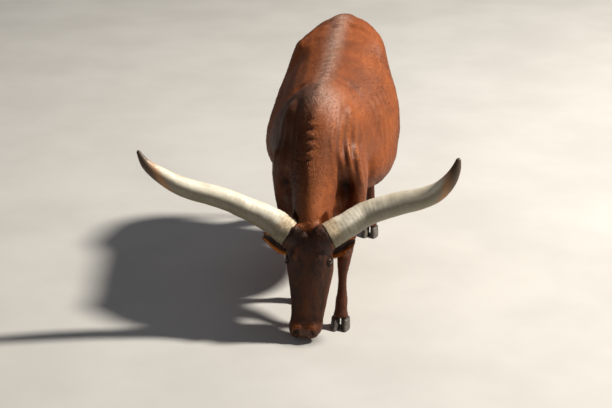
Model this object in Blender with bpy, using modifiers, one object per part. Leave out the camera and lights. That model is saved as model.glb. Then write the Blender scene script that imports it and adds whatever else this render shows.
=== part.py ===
# Ankole-Watusi cow, drinking with its head down: the solids of a life-size model.
# Metres, +Z up. The animal faces -Y and its left side is +X. Every length below is a real one.

import math

import bmesh
import bpy
import numpy as np
from mathutils import Matrix, Vector

GAP = 0.0003                    # clearance between neighbouring solids
VOXEL = 0.007                   # grain of the remesh that melts the muscles together
SMOOTH_PASSES = 12
FLESH_TRIANGLES = 7300          # the whole flesh after simplifying
RING_POINTS = 32
SCRAP_POINTS = 100              # a loose piece smaller than this is dropped

# Head: placed by its poll, then turned and pitched
POLL = Vector((-0.001, -0.075, 0.540))
HEAD_YAW = math.radians(-2.0)   # towards the animal's left
HEAD_PITCH = math.radians(72.5) # face line below the horizontal
# along the face from the poll, half width, face surface, jaw depth, squareness
HEAD_STATIONS = (
    (-0.060, 0.045, -0.050, 0.105, 2.0),
    (-0.030, 0.075, -0.012, 0.150, 2.1),
    (0.000, 0.090, 0.000, 0.185, 2.2),
    (0.060, 0.106, 0.010, 0.215, 2.3),
    (0.120, 0.117, 0.014, 0.232, 2.3),
    (0.180, 0.117, 0.010, 0.232, 2.3),
    (0.240, 0.108, 0.002, 0.212, 2.3),
    (0.300, 0.102, -0.004, 0.180, 2.3),
    (0.360, 0.092, -0.008, 0.150, 2.3),
    (0.420, 0.084, -0.010, 0.132, 2.4),
    (0.465, 0.083, -0.008, 0.118, 2.5),
    (0.500, 0.079, -0.010, 0.100, 2.5),
    (0.524, 0.065, -0.020, 0.074, 2.3),
    (0.536, 0.041, -0.034, 0.046, 2.0),
)
HEAD_BEND = 0.013               # the middle of the face lies this far to the animal's left
HEAD_LENGTH = 0.536
EYE_PLACE = (0.098, 0.150, -0.050)   # sideways, along the face, off the face
EYE_RADIUS = 0.019
EYE_SEGMENTS = 16
EYE_FACING = (0.92, 0.0, 0.40)       # the way the lids face, in the head's frame
LID_LENGTH = 0.021
LID_HEIGHT = 0.0145
LID_RISE = 0.012                # of the lids' middle off the eyeball's middle
LID_THICKNESS = 0.0058
LID_STEPS = 20
LID_CORNERS = 6
EAR_ROOT = (0.088, 0.115, -0.121)
LEFT_EAR_REACH = (0.130, -0.070, 0.000)    # from the root to the tip
RIGHT_EAR_REACH = (0.155, -0.065, -0.032)
EAR_THICKNESS = 0.006
EAR_HALF_WIDTH = (0.014, 0.031)      # at its ends, and added at its middle
EAR_CUP = 0.020                      # depth of the cup
EAR_TURN = 0.10                      # how far the leaf's edges turn outwards, per half width
EAR_ROWS = 11
EAR_COLUMNS = 7
NOSTRIL_PLACE = (0.039, 0.518, -0.029)
NOSTRIL_RADII = (0.013, 0.010, 0.020)
NOSTRIL_LEAN = math.radians(35)
LIP_WIDTH = 0.0790              # half the mouth, between the front teeth's corners
LIP_START = 0.472
LIP_REACH = 0.064
LIP_DEPTH = -0.102
LIP_CORNER = (0.0835, 0.415, -0.092)
LIP_GROOVE = 0.0035
LIP_LIFT = 0.012                # of the line's ends above its middle
LIP_STEPS = 25

# Horns: sideways, above the poll, off the face, diameter
RIGHT_HORN = (
    (0.094, -0.026, -0.055, 0.140),
    (0.190, 0.035, -0.051, 0.128),
    (0.320, 0.092, -0.012, 0.110),
    (0.433, 0.134, 0.023, 0.104),
    (0.596, 0.175, 0.084, 0.096),
    (0.700, 0.227, 0.135, 0.078),
    (0.773, 0.282, 0.173, 0.050),
    (0.818, 0.354, 0.196, 0.012),
)
LEFT_HORN = (
    (0.096, -0.028, -0.055, 0.136),
    (0.183, 0.031, -0.081, 0.127),
    (0.262, 0.086, -0.109, 0.122),
    (0.352, 0.123, -0.112, 0.117),
    (0.437, 0.152, -0.111, 0.113),
    (0.538, 0.181, -0.098, 0.105),
    (0.613, 0.218, -0.084, 0.092),
    (0.668, 0.274, -0.069, 0.072),
    (0.699, 0.336, -0.056, 0.046),
    (0.712, 0.398, -0.046, 0.014),
)
HORN_SIDES = 16
HORN_RINGS = 18
HORN_TIP_REACH = 0.9            # the tip's point, in radii of the last station
HORN_TIP_SHRINK = 0.35
STUB_STATIONS = ((-0.075, 0.40), (-0.040, 0.52), (-0.012, 0.545), (0.010, 0.53))
SEAT_BOX = (0.165, 0.165, 0.08)   # what is cut off square where a horn stands

# Neck: crest point (y, z), throat point (y, z), half width
NECK_STATIONS = (
    ((-0.070, 0.515), (0.120, 0.395), 0.086),
    ((-0.035, 0.600), (0.165, 0.445), 0.098),
    ((0.030, 0.705), (0.195, 0.515), 0.104),
    ((0.110, 0.835), (0.205, 0.575), 0.118),
    ((0.205, 0.965), (0.200, 0.625), 0.145),
    ((0.320, 1.075), (0.240, 0.660), 0.165),
    ((0.400, 1.090), (0.320, 0.680), 0.160),
)

# Torso: y, top, bottom, half width, height of the widest line, squareness above and below
TORSO_STATIONS = (
    (0.150, 0.860, 0.680, 0.075, 0.770, 2.0, 2.0),
    (0.185, 0.940, 0.615, 0.142, 0.770, 1.9, 2.0),
    (0.260, 1.030, 0.570, 0.180, 0.780, 1.8, 2.0),
    (0.350, 1.100, 0.545, 0.215, 0.785, 1.7, 2.0),
    (0.440, 1.118, 0.530, 0.252, 0.780, 1.8, 2.1),
    (0.560, 1.118, 0.505, 0.298, 0.760, 1.9, 2.1),
    (0.700, 1.125, 0.482, 0.340, 0.740, 2.0, 2.1),
    (0.850, 1.145, 0.480, 0.360, 0.730, 2.1, 2.1),
    (0.980, 1.172, 0.505, 0.358, 0.745, 2.2, 2.1),
    (1.080, 1.190, 0.560, 0.322, 0.810, 2.6, 2.1),
    (1.160, 1.204, 0.620, 0.280, 0.920, 3.2, 2.1),
    (1.280, 1.222, 0.665, 0.258, 0.960, 2.9, 2.1),
    (1.400, 1.230, 0.715, 0.232, 0.980, 2.5, 2.1),
    (1.490, 1.208, 0.800, 0.172, 1.000, 2.3, 2.0),
    (1.535, 1.145, 0.900, 0.088, 1.030, 2.0, 2.0),
)

RUMEN_SWELL = 0.017             # the left flank is fuller than the right one by twice this
RUMEN_PLACE = 0.900
RUMEN_REACH = 0.240

# Legs: x, y, z, half width, half depth, from the body down to the hoof's edge
LEFT_FORELEG = (
    (0.175, 0.315, 0.830, 0.055, 0.120),
    (0.202, 0.302, 0.720, 0.052, 0.106),
    (0.208, 0.286, 0.620, 0.047, 0.083),
    (0.195, 0.238, 0.530, 0.047, 0.062),
    (0.178, 0.168, 0.445, 0.042, 0.047),
    (0.165, 0.100, 0.362, 0.041, 0.044),
    (0.160, 0.080, 0.315, 0.036, 0.039),
    (0.158, 0.060, 0.240, 0.026, 0.030),
    (0.157, 0.045, 0.170, 0.028, 0.033),
    (0.156, 0.034, 0.135, 0.034, 0.038),
    (0.155, 0.018, 0.090, 0.034, 0.037),
    (0.155, 0.008, 0.050, 0.045, 0.042),
    (0.155, 0.004, 0.030, 0.046, 0.043),
)
RIGHT_FORELEG = (
    (-0.170, 0.330, 0.830, 0.052, 0.120),
    (-0.178, 0.335, 0.720, 0.056, 0.108),
    (-0.178, 0.345, 0.620, 0.053, 0.086),
    (-0.170, 0.345, 0.530, 0.049, 0.063),
    (-0.155, 0.338, 0.440, 0.044, 0.049),
    (-0.130, 0.330, 0.362, 0.043, 0.045),
    (-0.118, 0.328, 0.315, 0.038, 0.040),
    (-0.103, 0.330, 0.240, 0.028, 0.031),
    (-0.092, 0.328, 0.170, 0.030, 0.034),
    (-0.088, 0.324, 0.135, 0.036, 0.039),
    (-0.084, 0.312, 0.090, 0.036, 0.038),
    (-0.082, 0.304, 0.050, 0.046, 0.043),
    (-0.082, 0.300, 0.030, 0.047, 0.044),
)
# the hind leg at the left; the right one stands further back
HINDLEG = (
    (0.120, 1.320, 1.040, 0.080, 0.170),
    (0.140, 1.300, 0.920, 0.100, 0.200),
    (0.155, 1.270, 0.800, 0.102, 0.195),
    (0.165, 1.245, 0.700, 0.088, 0.165),
    (0.168, 1.275, 0.610, 0.066, 0.112),
    (0.168, 1.330, 0.520, 0.048, 0.070),
    (0.168, 1.372, 0.455, 0.042, 0.058),
    (0.168, 1.380, 0.415, 0.042, 0.056),
    (0.169, 1.362, 0.360, 0.034, 0.042),
    (0.171, 1.345, 0.280, 0.028, 0.033),
    (0.173, 1.332, 0.190, 0.029, 0.034),
    (0.174, 1.322, 0.140, 0.036, 0.040),
    (0.175, 1.302, 0.092, 0.035, 0.038),
    (0.176, 1.288, 0.050, 0.046, 0.043),
    (0.176, 1.284, 0.030, 0.047, 0.044),
)
HIND_STAGGER = 0.095            # how far the right hind foot stands behind the left one

# Masses of muscle and bone: centre, radii, tilt about X in degrees; made on both sides
MASSES = (
    ((0.122, 0.375, 0.890), (0.080, 0.115, 0.165), -18),   # shoulder blade
    ((0.150, 0.262, 0.770), (0.060, 0.090, 0.115), -10),   # point of the shoulder
    ((0.182, 0.370, 0.690), (0.055, 0.110, 0.100), -20),   # upper arm
    ((0.182, 1.185, 1.130), (0.052, 0.090, 0.048), 0),     # hook bone
    ((0.088, 1.490, 1.095), (0.045, 0.045, 0.055), 0),     # pin bone
    ((0.195, 1.135, 0.735), (0.060, 0.075, 0.085), 0),     # stifle
    ((0.092, 0.280, 0.580), (0.076, 0.115, 0.084), 0),     # brisket
)
SINGLE_MASSES = (
    ((0.0, 0.350, 1.045), (0.045, 0.150, 0.046), 30),      # withers
    ((0.0, 1.370, 1.205), (0.085, 0.160, 0.038), 0),       # croup
    ((0.0, 0.205, 0.640), (0.040, 0.060, 0.060), 0),       # fold of the breast
    ((0.190, 0.810, 0.672), (0.170, 0.380, 0.184), 0),     # rumen, on the left
)

TRUNK_ROLL = 0.075              # how far the trunk leans to its right, height per width
ROLL_START = (0.30, 0.60)       # y where the roll begins, z of the leg that keeps out of it
ROLL_REACH = (0.40, 0.35)

# Where the flesh is parted: middle of the cut, the way it faces, its width and depth
CUTS = (
    ("cut_head", (-0.005, 0.035, 0.465), (0, 0.707, 0.707), 0.25, 0.34),
    ("cut_neck", (0, 0.115, 0.610), (0, 0.755, 0.656), 0.25, 0.32),
    ("cut_barrel", (0, 0.520, 0.80), (0, 1, 0), 0.90, 0.90),
    ("cut_rump", (0, 1.040, 0.84), (0, 1, 0), 0.90, 0.90),
    ("cut_foreleg_left", (0.188, 0.205, 0.476), (0, 0.2, 0.98), 0.15, 0.24),
    ("cut_foreleg_right", (-0.170, 0.342, 0.476), (0, 0, 1), 0.15, 0.24),
    ("cut_knee_left", (0.161, 0.086, 0.330), (0, 0.2, 0.98), 0.14, 0.14),
    ("cut_knee_right", (-0.121, 0.328, 0.330), (0, 0, 1), 0.14, 0.14),
    ("cut_hindleg_left", (0.165, 1.270, 0.640), (0, -0.35, 0.937), 0.26, 0.46),
    ("cut_hindleg_right", (-0.165, 1.305, 0.640), (0, -0.35, 0.937), 0.26, 0.46),
    ("cut_hock_left", (0.168, 1.378, 0.400), (0, 0, 1), 0.16, 0.18),
    ("cut_hock_right", (-0.168, 1.435, 0.400), (0, 0, 1), 0.16, 0.18),
)

# Feet
CLAW_LEVELS = (                 # height, width, how far the toe and the heel draw in
    (0.000, 0.97, 0.003, 0.003),
    (0.004, 1.00, 0.002, 0.000),
    (0.028, 0.97, 0.018, 0.002),
    (0.052, 0.92, 0.035, 0.006),
)
CLAW_HEIGHT = CLAW_LEVELS[-1][0]
FLOOR_BOX = (0.20, 0.24, 0.20)  # what is cut off under each leg
CLAW_SIDES = 20
CLAW_BACK = 0.012               # the claws stand this far ahead of the leg's last station
CLAW_LENGTH = 0.112
CLAW_WIDTH = 0.046
CLEFT = 0.006                   # between the two claws of a foot
DEWCLAW_PLACE = (0.021, 0.062, 0.118)   # aside, behind the claws, above the ground
DEWCLAW_RADII = (0.013, 0.017, 0.016)
DEWCLAW_TILT = -25

# Tail: its line hangs from the croup down behind the hocks
TAIL_LINE = (
    (0.0, 1.470, 1.190, 0.034),
    (0.0, 1.532, 1.180, 0.031),
    (0.0, 1.566, 1.110, 0.027),
    (0.0, 1.572, 1.000, 0.022),
    (0.003, 1.570, 0.860, 0.018),
    (0.008, 1.566, 0.720, 0.015),
    (0.012, 1.564, 0.600, 0.013),
)
TAIL_SIDES = 12
TAIL_END_BOX = (0.2, 0.2, 0.2)  # what is cut off the tail where the switch begins
SWITCH_TOP = 0.640
SWITCH_BOTTOM = 0.330
SWITCH_CENTRE = (0.012, 1.565)
SWITCH_CORE_TOP = 0.0125        # radius of the core under the locks
SWITCH_CORE_SWELL = 0.0035
SWITCH_CORE_TAPER = 0.0095
SWITCH_CORE_LENGTH = 0.200
SWITCH_SEED = 11
LOCKS = 18
LOCK_FIRST_ROOT = 0.022         # below the switch's top
LOCK_ROOT_SPAN = 0.150
LOCK_TIP_SPAN = 0.090
LOCK_HALF_WIDTH = 0.0105
LOCK_HALF_THICKNESS = 0.0032
LOCK_ROOT_DEPTH = 0.006         # of a root, from the core's middle
LOCK_SWING = 0.034              # how far the locks stand off the core
LOCK_SWAY = 0.012
LOCK_POINTS = 6
LOCK_SIDES = 4
GOLDEN_TURN = 2.39996

# Udder
UDDER_CENTRE = (0, 1.16, 0.640)
UDDER_RADII = (0.085, 0.120, 0.065)
UDDER_TILT = 8
TEAT_ROWS = (1.115, 1.195)
TEAT_SIDE = 0.038
TEAT_HEIGHT = 0.580
TEAT_RADII = (0.011, 0.011, 0.032)

# Colour and roughness of the nodes, by how their names begin
LOOKS = (
    ("horn", (0.62, 0.58, 0.45), 0.4),
    ("claw", (0.16, 0.14, 0.12), 0.55),
    ("eye", (0.015, 0.010, 0.008), 0.08),
    ("head", (0.10, 0.035, 0.015), 0.6),
    ("tail_switch", (0.10, 0.035, 0.015), 0.6),
    ("", (0.36, 0.11, 0.035), 0.55),
)


def clear_scene():
    for obj in list(bpy.data.objects):
        bpy.data.objects.remove(obj, do_unlink=True)


def new_collection(name):
    collection = bpy.data.collections.new(name)
    bpy.context.scene.collection.children.link(collection)
    return collection


def material(name, colour, roughness):
    made = bpy.data.materials.new(name)
    made.use_nodes = True
    shader = made.node_tree.nodes["Principled BSDF"]
    shader.inputs["Base Color"].default_value = (*colour, 1.0)
    shader.inputs["Roughness"].default_value = roughness
    shader.inputs["Metallic"].default_value = 0.0
    return made


def link_object(name, mesh, collection):
    obj = bpy.data.objects.new(name, mesh)
    collection.objects.link(obj)
    return obj


def spline(rows, count):
    """Rows of numbers read at even steps along a Catmull-Rom curve through them."""
    rows = np.array(rows, dtype=float)
    padded = np.vstack([2 * rows[0] - rows[1], rows, 2 * rows[-1] - rows[-2]])
    values = []
    for step in np.linspace(0, len(rows) - 1, count):
        index = min(int(step), len(rows) - 2)
        part = step - index
        a, b, c, d = padded[index:index + 4]
        curve = 2 * b + (c - a) * part
        curve += (2 * a - 5 * b + 4 * c - d) * part ** 2
        curve += (3 * b - a - 3 * c + d) * part ** 3
        values.append(curve / 2)
    return np.array(values)


def loft_mesh(name, rings):
    """A closed body through rings of equal count, with flat ends."""
    mesh = bpy.data.meshes.new(name)
    bm = bmesh.new()
    layers = [[bm.verts.new(point) for point in ring] for ring in rings]
    count = len(layers[0])
    for low, high in zip(layers, layers[1:]):
        for index in range(count):
            after = (index + 1) % count
            bm.faces.new((low[index], low[after], high[after], high[index]))
    bm.faces.new(list(reversed(layers[0])))
    bm.faces.new(layers[-1])
    bmesh.ops.recalc_face_normals(bm, faces=bm.faces)
    bm.to_mesh(mesh)
    bm.free()
    return mesh


def rounded(angle, power):
    """Sine and cosine of a superellipse, 2 for a round one and more for a squarer one."""
    sine = math.sin(angle)
    cosine = math.cos(angle)
    across = math.copysign(abs(sine) ** (2 / power), sine)
    along = math.copysign(abs(cosine) ** (2 / power), cosine)
    return across, along


def angles():
    return [2 * math.pi * index / RING_POINTS for index in range(RING_POINTS)]


def head_matrix():
    """Sideways, down the face and out of the face, from the poll."""
    sideways = Vector((math.cos(HEAD_YAW), math.sin(HEAD_YAW), 0))
    forward = Vector((math.sin(HEAD_YAW), -math.cos(HEAD_YAW), 0))
    down_face = forward * math.cos(HEAD_PITCH) - Vector((0, 0, math.sin(HEAD_PITCH)))
    out = forward * math.sin(HEAD_PITCH) + Vector((0, 0, math.cos(HEAD_PITCH)))
    turn = Matrix((sideways, down_face, out)).transposed().to_4x4()
    return Matrix.Translation(POLL) @ turn


def bend_at(down):
    """How far the middle of the face lies to the animal's left, down the head."""
    part = min(1.0, max(0.0, down / HEAD_LENGTH))
    return HEAD_BEND * math.sin(math.pi * part ** 1.5)


def face_point(across, down, out):
    return head_matrix() @ Vector((across + bend_at(down), down, out))


def torso_loft():
    rings = []
    for y, top, bottom, half, wide, above, below in spline(TORSO_STATIONS, 60):
        ring = []
        swell = RUMEN_SWELL * math.exp(-((y - RUMEN_PLACE) / RUMEN_REACH) ** 2)
        for angle in angles():
            across, along = rounded(angle, above if math.cos(angle) > 0 else below)
            reach = top - wide if along > 0 else wide - bottom
            ring.append((swell + (half - swell) * across, y, wide + reach * along))
        rings.append(ring)
    return loft_mesh("torso_form", rings)


def neck_loft():
    flat = [(*crest, *throat, half) for crest, throat, half in NECK_STATIONS]
    rings = []
    for crest_y, crest_z, throat_y, throat_z, half in spline(flat, 30):
        ring = []
        for angle in angles():
            across, along = rounded(angle, 2.0)
            narrow = 1.0 - 0.18 * along
            y = (crest_y + throat_y) / 2 + (crest_y - throat_y) / 2 * along
            z = (crest_z + throat_z) / 2 + (crest_z - throat_z) / 2 * along
            ring.append((half * across * narrow, y, z))
        rings.append(ring)
    return loft_mesh("neck_form", rings)


def head_loft():
    place = head_matrix()
    rings = []
    for down, half, face, depth, power in spline(HEAD_STATIONS, 44):
        middle = face - depth * 0.46
        bend = bend_at(down)
        ring = []
        for angle in angles():
            across, along = rounded(angle, power)
            reach = face - middle if along > 0 else depth * 0.54
            narrow = 1.0 - 0.30 * max(0.0, -along) ** 2
            ring.append(place @ Vector((bend + half * across * narrow, down, middle + reach * along)))
        rings.append(ring)
    return loft_mesh("head_form", rings)


def limb_loft(name, stations):
    rings = []
    for x, y, z, half, deep in spline(stations, 46):
        ring = []
        for angle in angles():
            across, along = rounded(angle, 2.2)
            ring.append((x + half * across, y - deep * along, z))
        rings.append(ring)
    return loft_mesh(name, rings)


def ball(name, centre, radii, tilt=0.0, segments=24):
    mesh = bpy.data.meshes.new(name)
    bm = bmesh.new()
    bmesh.ops.create_uvsphere(bm, u_segments=segments, v_segments=segments // 2, radius=1.0)
    turn = Matrix.Rotation(math.radians(tilt), 4, "X")
    bmesh.ops.transform(bm, matrix=Matrix.Diagonal((*radii, 1.0)), verts=bm.verts)
    bmesh.ops.transform(bm, matrix=Matrix.Translation(centre) @ turn, verts=bm.verts)
    bm.to_mesh(mesh)
    bm.free()
    return mesh


def horn_point(side, station):
    across, above, out, diameter = station
    return head_matrix() @ Vector((side * across, -above, out)), diameter


def horn_frame(side, stations):
    """Where a horn starts, and the way it leaves the head."""
    start, diameter = horn_point(side, stations[0])
    after, _ = horn_point(side, stations[1])
    return start, (after - start).normalized(), diameter


def tube_rings(points, radii, sides):
    """Rings square to a line of points, carried along it without twist."""
    rings = []
    normal = None
    for index, point in enumerate(points):
        before = points[max(index - 1, 0)]
        after = points[min(index + 1, len(points) - 1)]
        heading = (after - before).normalized()
        if normal is None:
            normal = heading.orthogonal().normalized()
        normal = (normal - heading * normal.dot(heading)).normalized()
        side = heading.cross(normal)
        ring = []
        for step in range(sides):
            angle = 2 * math.pi * step / sides
            offset = normal * math.cos(angle) + side * math.sin(angle)
            ring.append(point + offset * radii[index])
        rings.append(ring)
    return rings


def horn_stub(side, stations):
    """The skin that rises to the foot of a horn."""
    start, heading, diameter = horn_frame(side, stations)
    points = [start + heading * step for step, _ in STUB_STATIONS]
    radii = [diameter * part for _, part in STUB_STATIONS]
    return loft_mesh("stub_form", tube_rings(points, radii, RING_POINTS))


def flesh_forms():
    """Every closed form that the flesh is melted from."""
    forms = [torso_loft(), neck_loft(), head_loft()]
    forms.append(limb_loft("foreleg_form", LEFT_FORELEG))
    forms.append(limb_loft("foreleg_form", RIGHT_FORELEG))
    forms.append(limb_loft("hindleg_form", HINDLEG))
    forms.append(limb_loft("hindleg_form", right_hindleg()))
    for centre, radii, tilt in MASSES:
        for side in (-1, 1):
            forms.append(ball("mass", (side * centre[0], *centre[1:]), radii, tilt))
    for centre, radii, tilt in SINGLE_MASSES:
        forms.append(ball("mass", centre, radii, tilt))
    forms.append(horn_stub(-1, RIGHT_HORN))
    forms.append(horn_stub(1, LEFT_HORN))
    forms += dewclaw_forms()
    return forms


def right_hindleg():
    top = HINDLEG[0][2]
    rows = []
    for x, y, z, half, deep in HINDLEG:
        rows.append((-x, y + HIND_STAGGER * (1 - z / top), z, half, deep))
    return rows


def feet():
    """Name, x and y of each foot's middle at the ground."""
    rows = []
    for name, stations in (("foreleg_left", LEFT_FORELEG), ("foreleg_right", RIGHT_FORELEG),
                           ("hindleg_left", HINDLEG), ("hindleg_right", right_hindleg())):
        rows.append((name, stations[-1][0], stations[-1][1] - CLAW_BACK))
    return rows


def dewclaw_forms():
    forms = []
    aside, behind, above = DEWCLAW_PLACE
    for _, x, y in feet():
        for side in (-1, 1):
            centre = (x + side * aside, y + behind, above)
            forms.append(ball("dewclaw", centre, DEWCLAW_RADII, DEWCLAW_TILT, 12))
    return forms


def ease(value):
    value = min(1.0, max(0.0, value))
    return value * value * (3 - 2 * value)


def roll_trunk(mesh):
    """Lower the right side of the trunk a little, as the weight rests on that hip."""
    for vert in mesh.vertices:
        back = ease((vert.co.y - ROLL_START[0]) / ROLL_REACH[0])
        high = ease((vert.co.z - ROLL_START[1]) / ROLL_REACH[1])
        vert.co.z += TRUNK_ROLL * vert.co.x * back * high


def join_meshes(name, meshes, collection):
    bm = bmesh.new()
    for mesh in meshes:
        bm.from_mesh(mesh)
        bpy.data.meshes.remove(mesh)
    joined = bpy.data.meshes.new(name)
    bm.to_mesh(joined)
    bm.free()
    return link_object(name, joined, collection)


def bake_modifiers(obj):
    """Replace an object's mesh by what its modifiers make of it."""
    graph = bpy.context.evaluated_depsgraph_get()
    mesh = bpy.data.meshes.new_from_object(obj.evaluated_get(graph))
    obj.modifiers.clear()
    obj.data = mesh


def largest_shell(obj):
    """Keep the largest closed surface of a mesh."""
    bm = bmesh.new()
    bm.from_mesh(obj.data)
    shells = []
    left = set(bm.verts)
    while left:
        stack = [left.pop()]
        shell = set(stack)
        while stack:
            for edge in stack.pop().link_edges:
                for vert in edge.verts:
                    if vert in left:
                        left.remove(vert)
                        shell.add(vert)
                        stack.append(vert)
        shells.append(shell)
    shells.sort(key=len)
    for shell in shells[:-1]:
        bmesh.ops.delete(bm, geom=list(shell), context="VERTS")
    bm.to_mesh(obj.data)
    bm.free()


def melted_flesh(collection):
    """One skin over all the forms, smoothed and simplified."""
    flesh = join_meshes("flesh", flesh_forms(), collection)
    roll_trunk(flesh.data)
    remesh = flesh.modifiers.new("melt", "REMESH")
    remesh.mode = "VOXEL"
    remesh.voxel_size = VOXEL
    smooth = flesh.modifiers.new("smooth", "SMOOTH")
    smooth.factor = 0.5
    smooth.iterations = SMOOTH_PASSES
    bake_modifiers(flesh)
    largest_shell(flesh)
    faces = len(flesh.data.polygons) * 2
    simplify = flesh.modifiers.new("simplify", "DECIMATE")
    simplify.ratio = FLESH_TRIANGLES / faces
    bake_modifiers(flesh)
    largest_shell(flesh)
    return flesh


def boolean(obj, cutter, operation, solver="EXACT"):
    modifier = obj.modifiers.new(operation.lower(), "BOOLEAN")
    modifier.operation = operation
    modifier.solver = solver
    if isinstance(cutter, bpy.types.Collection):
        modifier.operand_type = "COLLECTION"
        modifier.collection = cutter
    else:
        modifier.object = cutter
    bake_modifiers(obj)


def as_cutter(name, mesh, cutters):
    obj = link_object(name, mesh, cutters)
    obj.hide_render = True
    obj.display_type = "WIRE"
    return obj


def box_mesh(name, centre, size, turn=None):
    mesh = bpy.data.meshes.new(name)
    bm = bmesh.new()
    bmesh.ops.create_cube(bm, size=1.0)
    bmesh.ops.transform(bm, matrix=Matrix.Diagonal((*size, 1.0)), verts=bm.verts)
    place = Matrix.Translation(centre)
    if turn is not None:
        place = place @ turn.to_4x4()
    bmesh.ops.transform(bm, matrix=place, verts=bm.verts)
    bm.to_mesh(mesh)
    bm.free()
    return mesh


def facing(direction):
    """The turn that points a box's Z the given way."""
    return Vector(direction).to_track_quat("Z", "Y").to_matrix()


def slab(name, centre, direction, width, depth, cutters):
    """A thin plate square to a direction, which parts what it passes through."""
    mesh = box_mesh(name, centre, (width, depth, GAP), facing(direction))
    return as_cutter(name, mesh, cutters)


def part_flesh(flesh, cutters):
    """Part the flesh with thin cuts where a person would name its parts."""
    for name, centre, direction, width, depth in CUTS:
        cutter = slab(name, centre, direction, width, depth, cutters)
        boolean(flesh, cutter, "DIFFERENCE", "MANIFOLD")


def trim_feet(flesh, cutters):
    """Cut the legs off level on the claws."""
    top = CLAW_HEIGHT + GAP
    for name, x, y in feet():
        middle = (x, y, top - FLOOR_BOX[2] / 2)
        mesh = box_mesh("floor_" + name, middle, FLOOR_BOX)
        cutter = as_cutter("floor_" + name, mesh, cutters)
        boolean(flesh, cutter, "DIFFERENCE")


def trim_horn_stubs(flesh, cutters):
    """Cut the skin off flat where each horn stands on it."""
    for name, side, stations in (("seat_right", -1, RIGHT_HORN), ("seat_left", 1, LEFT_HORN)):
        start, heading, _ = horn_frame(side, stations)
        middle = start + heading * (SEAT_BOX[2] / 2)
        mesh = box_mesh(name, middle, SEAT_BOX, facing(heading))
        boolean(flesh, as_cutter(name, mesh, cutters), "DIFFERENCE")


def horn_node(name, side, stations, collection):
    rows = []
    for station in stations:
        point, diameter = horn_point(side, station)
        rows.append((*point, diameter / 2))
    line = spline(rows, HORN_RINGS)
    points = [Vector(row[:3]) for row in line]
    radii = [row[3] for row in line]
    start, heading, _ = horn_frame(side, stations)
    rings = tube_rings(points, radii, HORN_SIDES)
    flat = []
    for point in rings[0]:
        flat.append(point - heading * (point - start).dot(heading) + heading * GAP)
    rings[0] = flat
    tip = points[-1] + (points[-1] - points[-2]).normalized() * radii[-1] * HORN_TIP_REACH
    rings.append([tip + (point - points[-1]) * HORN_TIP_SHRINK for point in rings[-1]])
    return link_object(name, loft_mesh(name, rings), collection)


def claw_node(name, x, y, side, collection):
    """One claw: flat below and above, straight at the cleft, round outside, sloping at the toe."""
    rings = []
    for z, width, toe_in, heel_in in CLAW_LEVELS:
        front = y - CLAW_LENGTH / 2 + toe_in
        back = y + CLAW_LENGTH / 2 - heel_in
        ring = []
        for step in range(CLAW_SIDES):
            across, along = rounded(2 * math.pi * step / CLAW_SIDES, 2.4)
            narrow = 1.0 - 0.35 * max(0.0, -along) ** 2
            out = CLAW_WIDTH * width * (0.5 + 0.5 * across * narrow)
            place = (front + back) / 2 + (back - front) / 2 * along
            ring.append((x + side * (CLEFT / 2 + out), place, z))
        rings.append(ring)
    return link_object(name, loft_mesh(name, rings), collection)


def ear_node(name, side, ear_reach, collection):
    """A cupped leaf, held out sideways under the horn with its tip a little up."""
    place = head_matrix()
    root = Vector(EAR_ROOT)
    reach = Vector(ear_reach)
    rings = []
    for part in np.linspace(0, 1, EAR_ROWS):
        half = EAR_HALF_WIDTH[0] + EAR_HALF_WIDTH[1] * math.sin(math.pi * part ** 0.75)
        cup = EAR_CUP * math.sin(math.pi * (0.10 + 0.80 * part))
        middle = root + reach * part
        outer = []
        inner = []
        for turn in np.linspace(-1, 1, EAR_COLUMNS):
            hollow = cup * (1 - turn ** 2)
            skin = EAR_THICKNESS * (1.2 - 0.7 * turn ** 2)
            aside = EAR_TURN * half * turn
            outer.append(middle + Vector((aside, half * turn, -hollow)))
            inner.append(middle + Vector((aside, half * turn * 0.90, skin - hollow)))
        ring = outer + list(reversed(inner))
        rings.append([place @ Vector((side * p.x, p.y, p.z)) for p in ring])
    return link_object(name, loft_mesh(name, rings), collection)


def swollen_copy(obj, name, cutters):
    """A copy grown by the gap, to cut a neighbour clear of it."""
    copy = as_cutter(name, obj.data.copy(), cutters)
    grow = copy.modifiers.new("grow", "DISPLACE")
    grow.strength = GAP * 1.5
    grow.mid_level = 0.0
    bake_modifiers(copy)
    return copy


def eye_centre(side):
    across, down, out = EYE_PLACE
    return face_point(side * across, down, out)


def lid_mesh(centre, outward):
    """An almond ring of even thickness round an eye."""
    long_way = (head_matrix().to_3x3() @ Vector((0, 1, 0))).normalized()
    long_way = (long_way - outward * long_way.dot(outward)).normalized()
    short_way = outward.cross(long_way)
    mesh = bpy.data.meshes.new("lid")
    bm = bmesh.new()
    rings = []
    for step in range(LID_STEPS):
        turn = 2 * math.pi * step / LID_STEPS
        c = math.cos(turn)
        s = math.sin(turn)
        spoke = (long_way * c + short_way * s).normalized()
        middle = centre + outward * LID_RISE + long_way * c * LID_LENGTH + short_way * s * LID_HEIGHT
        ring = []
        for corner in range(LID_CORNERS):
            angle = 2 * math.pi * corner / LID_CORNERS
            offset = spoke * math.cos(angle) + outward * math.sin(angle)
            ring.append(bm.verts.new(middle + offset * LID_THICKNESS))
        rings.append(ring)
    for index, low in enumerate(rings):
        high = rings[(index + 1) % LID_STEPS]
        for corner in range(LID_CORNERS):
            after = (corner + 1) % LID_CORNERS
            bm.faces.new((low[corner], low[after], high[after], high[corner]))
    bmesh.ops.recalc_face_normals(bm, faces=bm.faces)
    bm.to_mesh(mesh)
    bm.free()
    return mesh


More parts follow.
